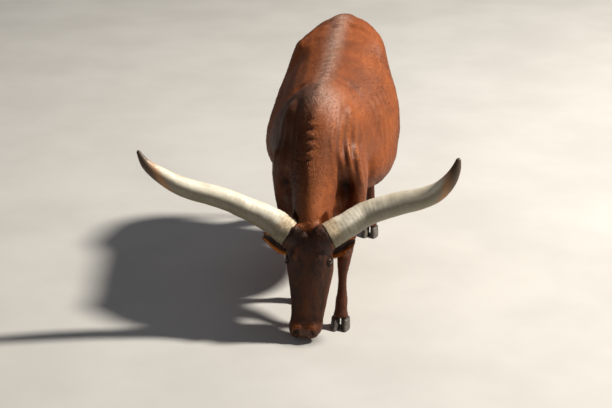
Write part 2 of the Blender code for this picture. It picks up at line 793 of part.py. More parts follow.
def open_eyes(flesh, cutters, collection):
    """Lids as a raised ring on the head, and an eyeball set in a socket behind them."""
    for name, side in (("eye_left", 1), ("eye_right", -1)):
        centre = eye_centre(side)
        facing_out = Vector((side * EYE_FACING[0], *EYE_FACING[1:]))
        outward = (head_matrix().to_3x3() @ facing_out).normalized()
        lid = as_cutter("lid_" + name, lid_mesh(centre, outward), cutters)
        boolean(flesh, lid, "UNION", "MANIFOLD")
        socket = ball("socket_" + name, centre, (EYE_RADIUS + GAP,) * 3, 0, EYE_SEGMENTS)
        boolean(flesh, as_cutter("socket_" + name, socket, cutters), "DIFFERENCE", "MANIFOLD")
        link_object(name, ball(name, centre, (EYE_RADIUS,) * 3, 0, EYE_SEGMENTS), collection)


def open_nostrils(flesh, cutters):
    place = head_matrix()
    across, down, out = NOSTRIL_PLACE
    for name, side in (("nostril_left", 1), ("nostril_right", -1)):
        mesh = ball(name, (0, 0, 0), NOSTRIL_RADII, 0, 12)
        turn = Matrix.Rotation(-side * NOSTRIL_LEAN, 4, "Z")
        middle = Matrix.Translation((side * across + bend_at(down), down, out))
        mesh.transform(place @ middle @ turn)
        boolean(flesh, as_cutter(name, mesh, cutters), "DIFFERENCE", "MANIFOLD")


def open_mouth(flesh, cutters):
    """A groove round the muzzle between the lips."""
    points = [face_point(*LIP_CORNER)]
    for step in range(LIP_STEPS):
        turn = math.pi * step / (LIP_STEPS - 1)
        across = LIP_WIDTH * math.cos(turn)
        down = LIP_START + LIP_REACH * math.sin(turn)
        out = LIP_DEPTH + LIP_LIFT * math.cos(turn) ** 2
        points.append(face_point(across, down, out))
    points.append(face_point(-LIP_CORNER[0], *LIP_CORNER[1:]))
    mesh = loft_mesh("lips", tube_rings(points, [LIP_GROOVE] * len(points), 6))
    boolean(flesh, as_cutter("lips", mesh, cutters), "DIFFERENCE", "MANIFOLD")


def tail_node(rump, cutters, collection):
    line = spline(TAIL_LINE, 22)
    points = [Vector(row[:3]) for row in line]
    tube = loft_mesh("tail", tube_rings(points, [row[3] for row in line], TAIL_SIDES))
    tail = link_object("tail", tube, collection)
    boolean(tail, swollen_copy(rump, "rump_grown", cutters), "DIFFERENCE")
    largest_shell(tail)
    middle = (*SWITCH_CENTRE, SWITCH_TOP - TAIL_END_BOX[2] / 2)
    end = box_mesh("tail_end", middle, TAIL_END_BOX)
    boolean(tail, as_cutter("tail_end", end, cutters), "DIFFERENCE")
    largest_shell(tail)


def lock_mesh(index, rng):
    """A flat tapered lock: rooted in the core, out, down and in again to its tip."""
    turn = index * GOLDEN_TURN
    outward = Vector((math.cos(turn), math.sin(turn), 0))
    sideways = Vector((-outward.y, outward.x, 0))
    level = index / (LOCKS - 1)
    root = SWITCH_TOP - LOCK_FIRST_ROOT - LOCK_ROOT_SPAN * level
    tip = SWITCH_BOTTOM + LOCK_TIP_SPAN * (1 - level) * rng.uniform(0.2, 1.0)
    swing = LOCK_SWING * rng.uniform(0.55, 1.0)
    sway = rng.uniform(-LOCK_SWAY, LOCK_SWAY)
    width = LOCK_HALF_WIDTH * rng.uniform(0.85, 1.15)
    rings = []
    for part in np.linspace(0, 1, LOCK_POINTS):
        off = LOCK_ROOT_DEPTH + swing * math.sin(math.pi * min(1.0, 0.04 + 0.80 * part)) ** 0.9
        middle = Vector((*SWITCH_CENTRE, root + (tip - root) * part))
        middle += outward * off + sideways * sway * part
        wide = width * (1.0 - 0.93 * part ** 2.0)
        thick = LOCK_HALF_THICKNESS * (1.0 - 0.70 * part ** 2.0)
        ring = []
        for corner in range(LOCK_SIDES):
            angle = 2 * math.pi * corner / LOCK_SIDES
            ring.append(middle + sideways * wide * math.cos(angle) + outward * thick * math.sin(angle))
        rings.append(ring)
    return loft_mesh("lock", rings)


def switch_node(collection):
    """The brush at the tail's end: a short core, and locks that fall over it."""
    rng = np.random.default_rng(SWITCH_SEED)
    centre = Vector((*SWITCH_CENTRE, 0))
    top = SWITCH_TOP - GAP
    points = []
    radii = []
    for part in np.linspace(0, 1, 7):
        points.append(centre + Vector((0, 0, top - SWITCH_CORE_LENGTH * part)))
        swell = SWITCH_CORE_SWELL * math.sin(math.pi * part)
        radii.append(SWITCH_CORE_TOP + swell - SWITCH_CORE_TAPER * part ** 3)
    switch = link_object("tail_switch", loft_mesh("tail_switch", tube_rings(points, radii, 10)),
                         collection)
    fuse(switch, [lock_mesh(index, rng) for index in range(LOCKS)])


def fuse(obj, meshes, solver="EXACT"):
    """Join closed pieces to a node in one union, and keep its one closed surface."""
    pieces = new_collection("pieces")
    for mesh in meshes:
        link_object("piece", mesh, pieces)
    boolean(obj, pieces, "UNION", solver)
    for piece in list(pieces.objects):
        bpy.data.objects.remove(piece, do_unlink=True)
    bpy.data.collections.remove(pieces)
    largest_shell(obj)


def udder_node(neighbours, cutters, collection):
    body = ball("udder", UDDER_CENTRE, UDDER_RADII, UDDER_TILT, 16)
    udder = link_object("udder", body, collection)
    teats = []
    for side in (-1, 1):
        for y in TEAT_ROWS:
            teats.append(ball("teat", (side * TEAT_SIDE, y, TEAT_HEIGHT), TEAT_RADII, 0, 8))
    fuse(udder, teats)
    for neighbour in neighbours:
        grown = swollen_copy(neighbour, neighbour.name + "_grown_udder", cutters)
        boolean(udder, grown, "DIFFERENCE")
    largest_shell(udder)
    return udder


def split_parts(flesh, collection):
    mesh = flesh.data
    count = len(mesh.vertices)
    parent = list(range(count))

    def root(index):
        while parent[index] != index:
            parent[index] = parent[parent[index]]
            index = parent[index]
        return index

    for edge in mesh.edges:
        a, b = (root(index) for index in edge.vertices)
        parent[max(a, b)] = min(a, b)
    groups = {}
    for index in range(count):
        groups.setdefault(root(index), set()).add(index)
    parts = []
    for group in groups.values():
        if len(group) < SCRAP_POINTS:
            continue
        bm = bmesh.new()
        bm.from_mesh(mesh)
        bm.verts.ensure_lookup_table()
        loose = [vert for vert in bm.verts if vert.index not in group]
        bmesh.ops.delete(bm, geom=loose, context="VERTS")
        made = bpy.data.meshes.new("part")
        bm.to_mesh(made)
        bm.free()
        parts.append(link_object("part", made, collection))
    return parts


REGIONS = {
    "head": (0.0, -0.06, 0.28),
    "neck": (0.0, 0.07, 0.55),
    "shoulders": (0.0, 0.28, 0.83),
    "barrel": (0.0, 0.78, 0.84),
    "rump": (0.0, 1.29, 0.88),
    "foreleg_left_upper": (0.175, 0.14, 0.41),
    "foreleg_right_upper": (-0.145, 0.335, 0.405),
    "foreleg_left_lower": (0.157, 0.05, 0.19),
    "foreleg_right_lower": (-0.10, 0.33, 0.19),
    "hindleg_left_upper": (0.168, 1.30, 0.53),
    "hindleg_right_upper": (-0.168, 1.35, 0.53),
    "hindleg_left_lower": (0.17, 1.34, 0.22),
    "hindleg_right_lower": (-0.17, 1.41, 0.22),
}


def name_parts(parts):
    named = {}
    for obj in parts:
        corners = [Vector(vert.co) for vert in obj.data.vertices]
        low = Vector([min(c[i] for c in corners) for i in range(3)])
        high = Vector([max(c[i] for c in corners) for i in range(3)])
        middle = (low + high) / 2
        name = min(REGIONS, key=lambda key: (Vector(REGIONS[key]) - middle).length)
        if name in named:
            raise ValueError("two parts near " + name + " " + str(tuple(middle)))
        obj.name = name
        obj.data.name = name
        named[name] = obj
    return named


def finish(collection):
    """Colour the nodes and stand the model with its box's bottom centre at the origin."""
    low = Vector((1e9,) * 3)
    high = Vector((-1e9,) * 3)
    for obj in collection.objects:
        for vert in obj.data.vertices:
            for axis in range(3):
                low[axis] = min(low[axis], vert.co[axis])
                high[axis] = max(high[axis], vert.co[axis])
    shift = Vector((-(low.x + high.x) / 2, -(low.y + high.y) / 2, -low.z))
    for obj in collection.objects:
        obj.data.transform(Matrix.Translation(shift))
        obj.data.materials.clear()
        look = next(row[1:] for row in LOOKS if obj.name.startswith(row[0]))
        obj.data.materials.append(material(obj.name, *look))


def main():
    clear_scene()
    collection = new_collection("ankole_watusi_cow")
    cutters = new_collection("cutters")
    flesh = melted_flesh(collection)
    trim_feet(flesh, cutters)
    trim_horn_stubs(flesh, cutters)
    open_eyes(flesh, cutters, collection)
    open_nostrils(flesh, cutters)
    open_mouth(flesh, cutters)
    largest_shell(flesh)
    part_flesh(flesh, cutters)
    parts = split_parts(flesh, collection)
    bpy.data.objects.remove(flesh, do_unlink=True)
    named = name_parts(parts)
    horns = {"right": horn_node("horn_right", -1, RIGHT_HORN, collection),
             "left": horn_node("horn_left", 1, LEFT_HORN, collection)}
    for name, x, y in feet():
        claw_node("claw_" + name + "_a", x, y, -1, collection)
        claw_node("claw_" + name + "_b", x, y, 1, collection)
    for name, side, reach in (("ear_left", 1, LEFT_EAR_REACH), ("ear_right", -1, RIGHT_EAR_REACH)):
        ear = ear_node(name, side, reach, collection)
        hosts = [named["head"], named["neck"], horns[name[4:]]]
        for host in hosts:
            grown = swollen_copy(host, host.name + "_grown_" + name, cutters)
            boolean(ear, grown, "DIFFERENCE", "MANIFOLD")
        largest_shell(ear)
    tail_node(named["rump"], cutters, collection)
    switch_node(collection)
    udder_node([named["rump"], named["barrel"]], cutters, collection)
    finish(collection)


main()
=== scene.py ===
# Ankole-Watusi cow, drinking with its head down: skin, coat, horns, hooves, eyes, light and camera.
# Metres. Places named "made" are in the frame the solids were drawn in, before they were centred.

import math

import bmesh
import bpy
import numpy as np
from mathutils import Euler, Matrix, Vector, noise


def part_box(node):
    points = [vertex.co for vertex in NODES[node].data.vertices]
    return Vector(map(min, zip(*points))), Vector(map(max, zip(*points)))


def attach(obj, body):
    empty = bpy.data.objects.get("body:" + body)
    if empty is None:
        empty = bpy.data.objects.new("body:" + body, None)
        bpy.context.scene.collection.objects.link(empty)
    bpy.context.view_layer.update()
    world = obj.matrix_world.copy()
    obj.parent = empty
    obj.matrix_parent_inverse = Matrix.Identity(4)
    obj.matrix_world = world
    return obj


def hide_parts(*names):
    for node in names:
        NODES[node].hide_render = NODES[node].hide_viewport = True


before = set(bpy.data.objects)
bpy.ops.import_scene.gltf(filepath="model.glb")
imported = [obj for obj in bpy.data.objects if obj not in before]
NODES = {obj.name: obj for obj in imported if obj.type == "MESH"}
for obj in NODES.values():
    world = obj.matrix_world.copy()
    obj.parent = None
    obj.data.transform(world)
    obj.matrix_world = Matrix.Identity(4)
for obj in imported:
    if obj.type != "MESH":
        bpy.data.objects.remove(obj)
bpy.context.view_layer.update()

LEGS = ("foreleg_left", "foreleg_right", "hindleg_left", "hindleg_right")
FLESH = ["head", "neck", "shoulders", "barrel", "rump", "tail", "udder"]
FLESH += [leg + half for leg in LEGS for half in ("_upper", "_lower")]
SIDES = (("left", 1), ("right", -1))
UV_MAP = "OFBake"
FULL_TURN = 2 * math.pi
SEED = 7

# Camera, from the perspective of the photograph
AZIMUTH = math.radians(7.58)
ELEVATION = math.radians(20.3)
FOCAL_PIXELS = 1737.0
IMAGE_WIDTH = 612.0
SENSOR = 36.0
AIM = Vector((-0.018, 0.0, 0.5))     # made
DISTANCE = 8.5
RISE = 0.137

# Head, as the solids place it; places on it are sideways, down the face and out of the face
POLL = Vector((-0.001, -0.075, 0.540))
HEAD_YAW = math.radians(-2.0)
HEAD_PITCH = math.radians(72.5)
HEAD_BEND = 0.013
HEAD_LENGTH = 0.536
EYE_PLACE = (0.098, 0.150, -0.050)
EYE_RADIUS = 0.019
EAR_ROOT = (0.088, 0.115, -0.121)
EAR_REACHES = {1: (0.130, -0.070, 0.000), -1: (0.155, -0.065, -0.032)}


def metres(value):
    """Millimetres, in tuples of any depth, as metres."""
    return tuple(metres(item) for item in value) if isinstance(value, tuple) else value / 1000


# Horns: out from the middle of the poll, above it, out of the face, diameter
RIGHT_HORN = metres((
    (94, -26, -55, 140), (190, 35, -51, 128), (320, 92, -12, 110), (433, 134, 23, 104),
    (596, 175, 84, 96), (700, 227, 135, 78), (773, 282, 173, 50), (818, 354, 196, 12),
))
LEFT_HORN = metres((
    (96, -28, -55, 136), (183, 31, -81, 127), (262, 86, -109, 122), (352, 123, -112, 117),
    (437, 152, -111, 113), (538, 181, -98, 105), (613, 218, -84, 92), (668, 274, -69, 72),
    (699, 336, -56, 46), (712, 398, -46, 14),
))


# Places and curves


def head_turn():
    """Sideways, down the face and out of the face, as columns."""
    sideways = Vector((math.cos(HEAD_YAW), math.sin(HEAD_YAW), 0))
    forward = Vector((math.sin(HEAD_YAW), -math.cos(HEAD_YAW), 0))
    down = forward * math.cos(HEAD_PITCH) - Vector((0, 0, math.sin(HEAD_PITCH)))
    out = forward * math.sin(HEAD_PITCH) + Vector((0, 0, math.cos(HEAD_PITCH)))
    return Matrix((sideways, down, out)).transposed()


TURN = head_turn()


def node_middle(name):
    low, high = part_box(name)
    return (Vector(low) + Vector(high)) / 2


def bend_at(down):
    """How far the middle of the face lies to the animal's left, down the head."""
    part = np.clip(np.asarray(down) / HEAD_LENGTH, 0.0, 1.0)
    return HEAD_BEND * np.sin(math.pi * part ** 1.5)


def centring_shift():
    """How far the solids were moved when they were centred, read from the eyes."""
    bend = float(bend_at(EYE_PLACE[1]))
    made = POLL + TURN @ Vector((bend, EYE_PLACE[1], EYE_PLACE[2]))
    return (node_middle("eye_left") + node_middle("eye_right")) / 2 - made


SHIFT = centring_shift()
SHIFT_ROW = np.array(SHIFT)
TURN_ROWS = np.array(TURN)
HEAD_ORIGIN = np.array(POLL + SHIFT)


def head_point(across, down, out):
    """A place on the head, in the frame of the model."""
    return POLL + SHIFT + TURN @ Vector((across, down, out))


def head_way(side, way):
    """A direction on the head, mirrored for its right side, in the frame of the model."""
    return (TURN @ Vector((side * way[0], *way[1:]))).normalized()


def eye_centre(side):
    """Middle of an eyeball, which moves aside with the bend of the face."""
    return head_point(side * EYE_PLACE[0] + float(bend_at(EYE_PLACE[1])), EYE_PLACE[1], EYE_PLACE[2])


def to_head(places):
    """Rows of places as sideways from the middle, down the face and out of the face."""
    local = (places - HEAD_ORIGIN) @ TURN_ROWS
    local[:, 0] -= bend_at(local[:, 1])
    return local


def mirrored(rows):
    """The same rows with both sides of the animal on its left."""
    sided = rows.copy()
    sided[:, 0] = np.abs(sided[:, 0])
    return sided


def rising(value, low, high):
    """0 up to low, 1 from high on, eased between them."""
    part = np.clip((value - low) / (high - low), 0.0, 1.0)
    return part * part * (3 - 2 * part)


def falling(value, low, high):
    """1 up to low, 0 from high on, eased between them."""
    return rising(-value, -high, -low)


def band(value, edges):
    """0 outside the outer two of four edges, 1 between the inner two."""
    return rising(value, edges[0], edges[1]) * falling(value, edges[2], edges[3])


def bell(value, half):
    return np.exp(-(value / half) ** 2)


def blend(first, second, part):
    """first where part is 0, second where it is 1."""
    part = part.reshape(part.shape + (1,) * (np.ndim(first) - 1))
    return first * (1 - part) + second * part


def blob(places, centre, radii):
    """A soft hill of height 1 around a centre."""
    offset = (places - np.array(centre)) / np.array(radii)
    return np.exp(-(offset ** 2).sum(axis=1))


RIDGE_FADE = (-0.08, 0.26, 0.74, 1.08)


def ridge(places, start, end, radius):
    """A soft hill along a line, falling off towards both ends."""
    start = np.array(start)
    along = np.array(end) - start
    part = np.clip((places - start) @ along / (along @ along), 0.0, 1.0)
    nearest = start + part[:, None] * along
    distance = ((places - nearest) ** 2).sum(axis=1)
    return np.exp(-distance / radius ** 2) * band(part, RIDGE_FADE)


def spline(rows, count):
    """Rows of numbers read at even steps along a Catmull-Rom curve through them."""
    rows = np.array(rows, dtype=float)
    padded = np.vstack([2 * rows[0] - rows[1], rows, 2 * rows[-1] - rows[-2]])
    steps = np.linspace(0, len(rows) - 1, count)
    index = np.minimum(steps.astype(int), len(rows) - 2)
    part = (steps - index)[:, None]
    a, b, c, d = (padded[index + shift] for shift in range(4))
    curve = 2 * b + (c - a) * part + (2 * a - 5 * b + 4 * c - d) * part ** 2
    return (curve + (3 * b - a - 3 * c + d) * part ** 3) / 2


def distances(places, line):
    """From every place to every point of a line."""
    return np.sqrt(((places[:, None, :] - line[None, :, :]) ** 2).sum(axis=2))


def travel_along(line):
    """How far along a line each of its points lies."""
    steps = np.linalg.norm(np.diff(line, axis=0), axis=1)
    return np.concatenate([[0.0], np.cumsum(steps)])


def headings(points):
    """The way a line runs at each of its points."""
    last = len(points) - 1
    return [(points[min(index + 1, last)] - points[max(index - 1, 0)]).normalized()
            for index in range(len(points))]


def circle(count):
    """Cosine and sine at even steps round a circle."""
    angles = [FULL_TURN * step / count for step in range(count)]
    return [(math.cos(angle), math.sin(angle)) for angle in angles]


def unit_rows(rows):
    return rows / np.maximum(np.linalg.norm(rows, axis=1), 1e-6)[:, None]


# Meshes


def link(name, data, material=None):
    if material is not None:
        data.materials.append(material)
    obj = bpy.data.objects.new(name, data)
    bpy.context.scene.collection.objects.link(obj)
    return obj


def read(items, key, width=1, kind=float):
    """A value of every item, as rows of the given width."""
    values = np.empty(len(items) * width, dtype=kind)
    items.foreach_get(key, values)
    return values.reshape(-1, width) if width > 1 else values


def places_of(mesh):
    return read(mesh.vertices, "co", 3)


def normals_of(mesh):
    return read(mesh.vertex_normals, "vector", 3)


def face_middles(mesh):
    return read(mesh.polygons, "center", 3)


def put_places(mesh, places):
    mesh.vertices.foreach_set("co", places.ravel())
    mesh.update()


def relax(mesh, passes, push=-0.52):
    """Places smoothed in passes of two steps; a push below zero keeps the form from shrinking."""
    places = places_of(mesh)
    edges = read(mesh.edges, "vertices", 2, np.int32)
    degree = np.bincount(edges.ravel())[:, None]
    for share in (0.5, push) * passes:
        mean = [np.bincount(edges.ravel(), column[edges[:, ::-1]].ravel()) for column in places.T]
        places = places + share * (np.stack(mean, axis=1) / degree - places)
    return places


def mark(mesh, **marks):
    """Store a number for each vertex under each name."""
    for name, values in marks.items():
        attribute = mesh.attributes.new(name, "FLOAT", "POINT")
        attribute.data.foreach_set("value", np.ascontiguousarray(values, dtype=np.float32))


def mesh_of(bm, name):
    """The mesh that a bmesh holds, which is freed."""
    mesh = bpy.data.meshes.new(name)
    bm.to_mesh(mesh)
    bm.free()
    return mesh


def bmesh_of(mesh):
    bm = bmesh.new()
    bm.from_mesh(mesh)
    return bm


def add_rings(bm, rings, closed=False):
    """A body through rings of equal count, capped, or closed from its last ring to its first."""
    layers = [[bm.verts.new(point) for point in ring] for ring in rings]
    count = len(layers[0])
    for low, high in zip(layers, layers[1:] + layers[:1] * closed):
        for index in range(count):
            after = (index + 1) % count
            bm.faces.new((low[index], low[after], high[after], high[index]))
    if not closed:
        bm.faces.new(list(reversed(layers[0])))
        bm.faces.new(layers[-1])


def smooth_mesh(bm, name):
    """The mesh that a bmesh holds, shaded smooth, with its faces turned outward."""
    bmesh.ops.recalc_face_normals(bm, faces=bm.faces)
    mesh = mesh_of(bm, name)
    mesh.shade_smooth()
    return mesh


def ring_mesh(name, rings, closed=False):
    bm = bmesh.new()
    add_rings(bm, rings, closed)
    return smooth_mesh(bm, name)


def modify(obj, kind, **settings):
    """Apply a modifier of the given kind and settings."""
    modifier = obj.modifiers.new("modifier", kind)
    for key, value in settings.items():
        setattr(modifier, key, value)
    graph = bpy.context.evaluated_depsgraph_get()
    mesh = bpy.data.meshes.new_from_object(obj.evaluated_get(graph))
    obj.modifiers.clear()
    obj.data = mesh


def divide_faces(mesh, chosen):
    """Split the chosen faces in four, and the faces round them in fewer."""
    bm = bmesh_of(mesh)
    bm.faces.ensure_lookup_table()
    edges = set()
    for index in np.nonzero(chosen)[0]:
        edges.update(bm.faces[index].edges)
    bmesh.ops.subdivide_edges(bm, edges=list(edges), cuts=1, use_grid_fill=True)
    bm.to_mesh(mesh)
    bm.free()


def unwrap(obj):
    """Unwrap a mesh by the way its faces look."""
    mesh = obj.data
    while mesh.uv_layers:
        mesh.uv_layers.remove(mesh.uv_layers[0])
    mesh.uv_layers.new(name=UV_MAP)
    bpy.ops.object.select_all(action="DESELECT")
    obj.select_set(True)
    bpy.context.view_layer.objects.active = obj
    bpy.ops.object.mode_set(mode="EDIT")
    bpy.ops.mesh.select_all(action="SELECT")
    bpy.ops.uv.smart_project(angle_limit=math.radians(66), island_margin=0.002)
    bpy.ops.object.mode_set(mode="OBJECT")


# Skin

SKIN_VOXEL = 0.0085
SKIN_DEPTH = 0.004              # the skin lies this far inside the solids
SKIN_SWELL = 0.0008             # what each node grows by, so that neighbours overlap
WELD = 0.00002


def melted_skin():
    """One closed skin over every node of flesh."""
    whole = bmesh.new()
    for node in FLESH:
        part = bmesh_of(NODES[node].data)
        bmesh.ops.remove_doubles(part, verts=part.verts, dist=WELD)
        part.normal_update()
        for vert in part.verts:
            vert.co += vert.normal * SKIN_SWELL
        mesh = mesh_of(part, "part")
        whole.from_mesh(mesh)
        bpy.data.meshes.remove(mesh)
    skin = link("skin", mesh_of(whole, "skin"))
    modify(skin, "REMESH", mode="VOXEL", voxel_size=SKIN_VOXEL)
    return skin


def on_head(places, reach=0.0):
    """1 on the head and 0 behind the poll; reach moves the border back."""
    across, down, out = to_head(places).T
    half = 0.128 - 0.022 * rising(down, 0.20, 0.40)
    inside = rising(down, -0.03 - reach, 0.05 - reach) * rising(half - np.abs(across), 0.0, 0.010)
    return inside * falling(-out, 0.24, 0.30)


# Hills and hollows of the trunk: centre, radii, height; made on both sides
TRUNK_BLOBS = metres((
    ((215, 1185, 1165), (40, 60, 36), -5), ((235, 1030, 1070), (85, 80, 80), -20),
    ((120, 1110, 1200), (70, 55, 50), -12), ((95, 1490, 1120), (40, 45, 45), 8),
    ((160, 1350, 1165), (60, 85, 55), -10), ((240, 1250, 850), (60, 120, 120), 8),
    ((215, 400, 760), (50, 90, 80), 8), ((130, 215, 850), (45, 45, 110), -10),
    ((158, 205, 690), (30, 50, 65), -22), ((106, 235, 505), (50, 75, 34), 15),
))
# Ridges and grooves of the trunk: start, end, radius, height; made on both sides
TRUNK_RIDGES = metres((
    ((110, 450, 1060), (200, 280, 790), 22, 9), ((110, 600, 1130), (275, 440, 600), 34, -20),
    ((140, 340, 1020), (195, 225, 850), 22, -6), ((215, 1180, 1140), (250, 1120, 780), 30, 6),
    ((245, 1290, 1000), (235, 1330, 720), 20, -8), ((215, 1080, 760), (255, 960, 600), 35, 6),
    ((90, 240, 930), (125, 170, 700), 14, -6), ((200, 245, 900), (225, 225, 640), 14, 7),
))
# The edge of the hip bone, from the spine to the hook, seen from above
HIP_EDGE = metres(((0, 1350), (34, 1290), (75, 1262), (120, 1256), (165, 1232), (202, 1190)))
# The edge itself, the hollow before it and the one behind it: shift along the back, radius, height
HIP_BANDS = metres(((0, 22, 10), (-42, 30, -8), (46, 34, -5)))

LOOSE_SKIN = ((0.165, 0.250, 0.820), (0.080, 0.130, 0.190))
RIGHT_SIDE_LOOSE = 0.55         # the animal's right shows less of the loose skin
FOLD_SPACING, FOLD_RISE = 0.044, 0.0062
SPINE_HALF, SPINE_RISE = 0.026, 0.0030
KNUCKLE_SPACING, KNUCKLE_RISE = 0.058, 0.0014
BACK_RUN = (0.30, 0.45, 1.30, 1.50)
RIB_SPACING, RIB_RISE, RIB_SLANT = 0.060, 0.0034, 0.30
RIB_RUN = (0.50, 0.60, 0.94, 1.06)
RIB_HEIGHTS = (0.58, 0.68, 0.94, 1.04)


def hip_relief(sided):
    """The hip bone's edge, standing up, with a hollow before it and a shallower one behind."""
    x, _, z = sided.T
    line = spline(HIP_EDGE, 60)
    rise = sum(height * bell(distances(sided[:, :2], line + (0.0, shift)).min(axis=1), radius)
               for shift, radius, height in HIP_BANDS)
    return rise * (z > 0.98) * (1 - 0.9 * rising(x, 0.135, 0.190)) * rising(x, 0.010, 0.090)


def shoulder_folds(made):
    """The loose skin before the shoulder: how much of it there is, and its folds from -1 to 1."""
    sided = mirrored(made)
    x, y, z = sided.T
    loose = blob(sided, *LOOSE_SKIN) * np.where(made[:, 0] > 0, 1.0, RIGHT_SIDE_LOOSE)
    bend = x + 0.025 * np.sin(z * 9.0) + 0.20 * (y - 0.25)
    return loose, np.sin(bend * FULL_TURN / FOLD_SPACING)


def trunk_relief(made):
    """How far the skin of the trunk stands off, from bones, muscles and folds."""
    sided = mirrored(made)
    x, y, z = sided.T
    rise = hip_relief(sided)
    for centre, radii, height in TRUNK_BLOBS:
        rise += height * blob(sided, centre, radii)
    for start, end, radius, height in TRUNK_RIDGES:
        rise += height * ridge(sided, start, end, radius)
    spine = bell(x, SPINE_HALF) * band(y, BACK_RUN) * rising(z, 0.95, 1.05)
    rise += spine * (SPINE_RISE + KNUCKLE_RISE * np.sin(y * FULL_TURN / KNUCKLE_SPACING))
    slant = y - RIB_SLANT * (z - 0.80)
    flank = rising(x, 0.17, 0.26) * band(y, RIB_RUN) * band(z, RIB_HEIGHTS)
    ribs = np.sin(slant * FULL_TURN / RIB_SPACING + 1.2 * np.sin(3.1 * z + 5.0 * y))
    loose, wave = shoulder_folds(made)
    return rise + RIB_RISE * flank * ribs + FOLD_RISE * loose * wave


CREST_LINE = metres(((30, 705), (110, 835), (205, 965), (300, 1060)))
CREST_LEAN = -0.018             # the crest lies a little to the animal's right
CREST_ROLL = 0.005
KNOB_SPACING, KNOB_RISE = 0.054, 0.0066
KNOB_RUN = (0.24, 0.36, 0.68, 0.82)


def crest_marks(made):
    """Knobs of the spine from the withers to the poll, and painted shade between them, on their shaded
    side.
    """
    line = spline(CREST_LINE, 60)
    travel = travel_along(line)
    aside = made[:, 0] - CREST_LEAN
    near = np.nonzero((np.abs(aside) < 0.09) & (made[:, 1] < 0.38) & (made[:, 2] > 0.62))[0]
    aside = aside[near]
    distance = distances(made[near, 1:], line)
    off = distance.min(axis=1)
    at = travel[distance.argmin(axis=1)]
    wave = np.sin(at * FULL_TURN / KNOB_SPACING)
    knobs = band(at / travel[-1], KNOB_RUN)
    roll = CREST_ROLL * band(at / travel[-1], (0.0, 0.25, 0.75, 1.0))
    rise, groove = np.zeros((2, len(made)))
    rise[near] = bell(aside, 0.018) * bell(off, 0.024) * (roll + KNOB_RISE * wave * knobs)
    # Painted shade between the knobs, a little to the animal's right, on the shaded side.
    groove[near] = bell(aside + 0.006, 0.015) * bell(off, 0.040) * knobs * rising(-wave, -0.35, 0.55)
    return rise, groove


# Hills and hollows of the head, on both sides: centre, radii, height
HEAD_BLOBS = metres((
    ((78, 122, -16), (22, 32, 22), 8), ((54, 6, 0), (26, 30, 40), 13),
    ((0, -5, 5), (30, 30, 34), -17), ((98, 62, -62), (24, 34, 34), -7),
    ((90, 205, -70), (22, 55, 18), 6), ((84, 300, -100), (26, 50, 30), -5),
    ((70, 345, -36), (22, 80, 22), -6), ((106, 215, -135), (30, 70, 45), 4),
    ((42, 478, -14), (24, 16, 24), 8), ((80, 480, -60), (22, 35, 40), 5),
    ((56, 440, -110), (40, 40, 20), 3), ((0, 130, 16), (30, 60, 30), -6),
    ((0, 330, 0), (26, 130, 24), 3), ((0, 462, -4), (50, 12, 30), -3),
))
# Wrinkles of brow, cheek and nose: centre, radii, height, the way they follow one another, spacing
HEAD_WRINKLES = (
    ((0.060, 0.105, -0.004), (0.026, 0.040, 0.030), 0.0020, (0.5, 1.0, 0.0), 0.014),
    ((0.092, 0.190, -0.045), (0.020, 0.030, 0.030), 0.0012, (0.0, 0.4, 1.0), 0.009),
    ((0.050, 0.465, -0.040), (0.040, 0.025, 0.050), 0.0014, (0.0, 1.0, 0.0), 0.010),
)
BROW_RIDGE = ((0.050, 0.075, 0.012), (0.062, 0.150, 0.002), 0.010)
BROW_RISE = 0.0070
SPLIT_DEPTH, SPLIT_HALF = 0.004, 0.004      # the groove from the nose to the lip


def head_relief(places):
    """How far the skin of the head stands off, from bones, muscles and wrinkles."""
    sided = mirrored(to_head(places))
    across, down, out = sided.T
    rise = BROW_RISE * ridge(sided, *BROW_RIDGE)
    for centre, radii, height in HEAD_BLOBS:
        rise += height * blob(sided, centre, radii)
    for centre, radii, height, way, spacing in HEAD_WRINKLES:
        rise += height * blob(sided, centre, radii) * np.sin(sided @ np.array(way) * FULL_TURN / spacing)
    rise -= SPLIT_DEPTH * bell(across, SPLIT_HALF) * rising(down, 0.505, 0.53) * rising(-out, 0.02, 0.05)
    return rise * on_head(places, 0.04)


CANNON_BONES = ((0.158, 0.055), (-0.103, 0.330), (0.172, 1.340), (-0.172, 1.415))
CANNON_HEIGHTS = (0.15, 0.19, 0.27, 0.33)
TENDON_DEPTH = 0.005
# Knees and hocks: centre, radii, height
LEG_BLOBS = metres((
    ((163, 58, 345), (30, 20, 26), 5), ((-124, 288, 345), (30, 20, 26), 5),
    ((168, 1432, 470), (22, 22, 40), 6), ((-168, 1490, 470), (22, 22, 40), 6),
))


def leg_relief(made):
    """Joints, and the groove before the tendon behind each cannon bone."""
    x, y, z = made.T
    rise = np.zeros(len(made))
    for middle_x, middle_y in CANNON_BONES:
        side = np.abs(x - middle_x)
        near = (side < 0.06) & (np.abs(y - middle_y) < 0.09)
        groove = bell(y - middle_y - 0.008, 0.009) * rising(side, 0.014, 0.024)
        rise -= near * groove * band(z, CANNON_HEIGHTS) * TENDON_DEPTH
    for centre, radii, height in LEG_BLOBS:
        rise += height * blob(made, centre, radii)
    return rise


LIP_WIDTH = 0.0790
LIP_CORNER = (0.0835, 0.415, -0.092)
LIP_DEPTH, LIP_HALF = 0.006, 0.0042
NOSTRIL_PLACE = (0.040, 0.506, -0.027)
NOSTRIL_RADII = (0.013, 0.022, 0.040)
NOSTRIL_LEAN = math.radians(38)
NOSTRIL_DEPTH, NOSTRIL_RIM = 0.021, 0.0028


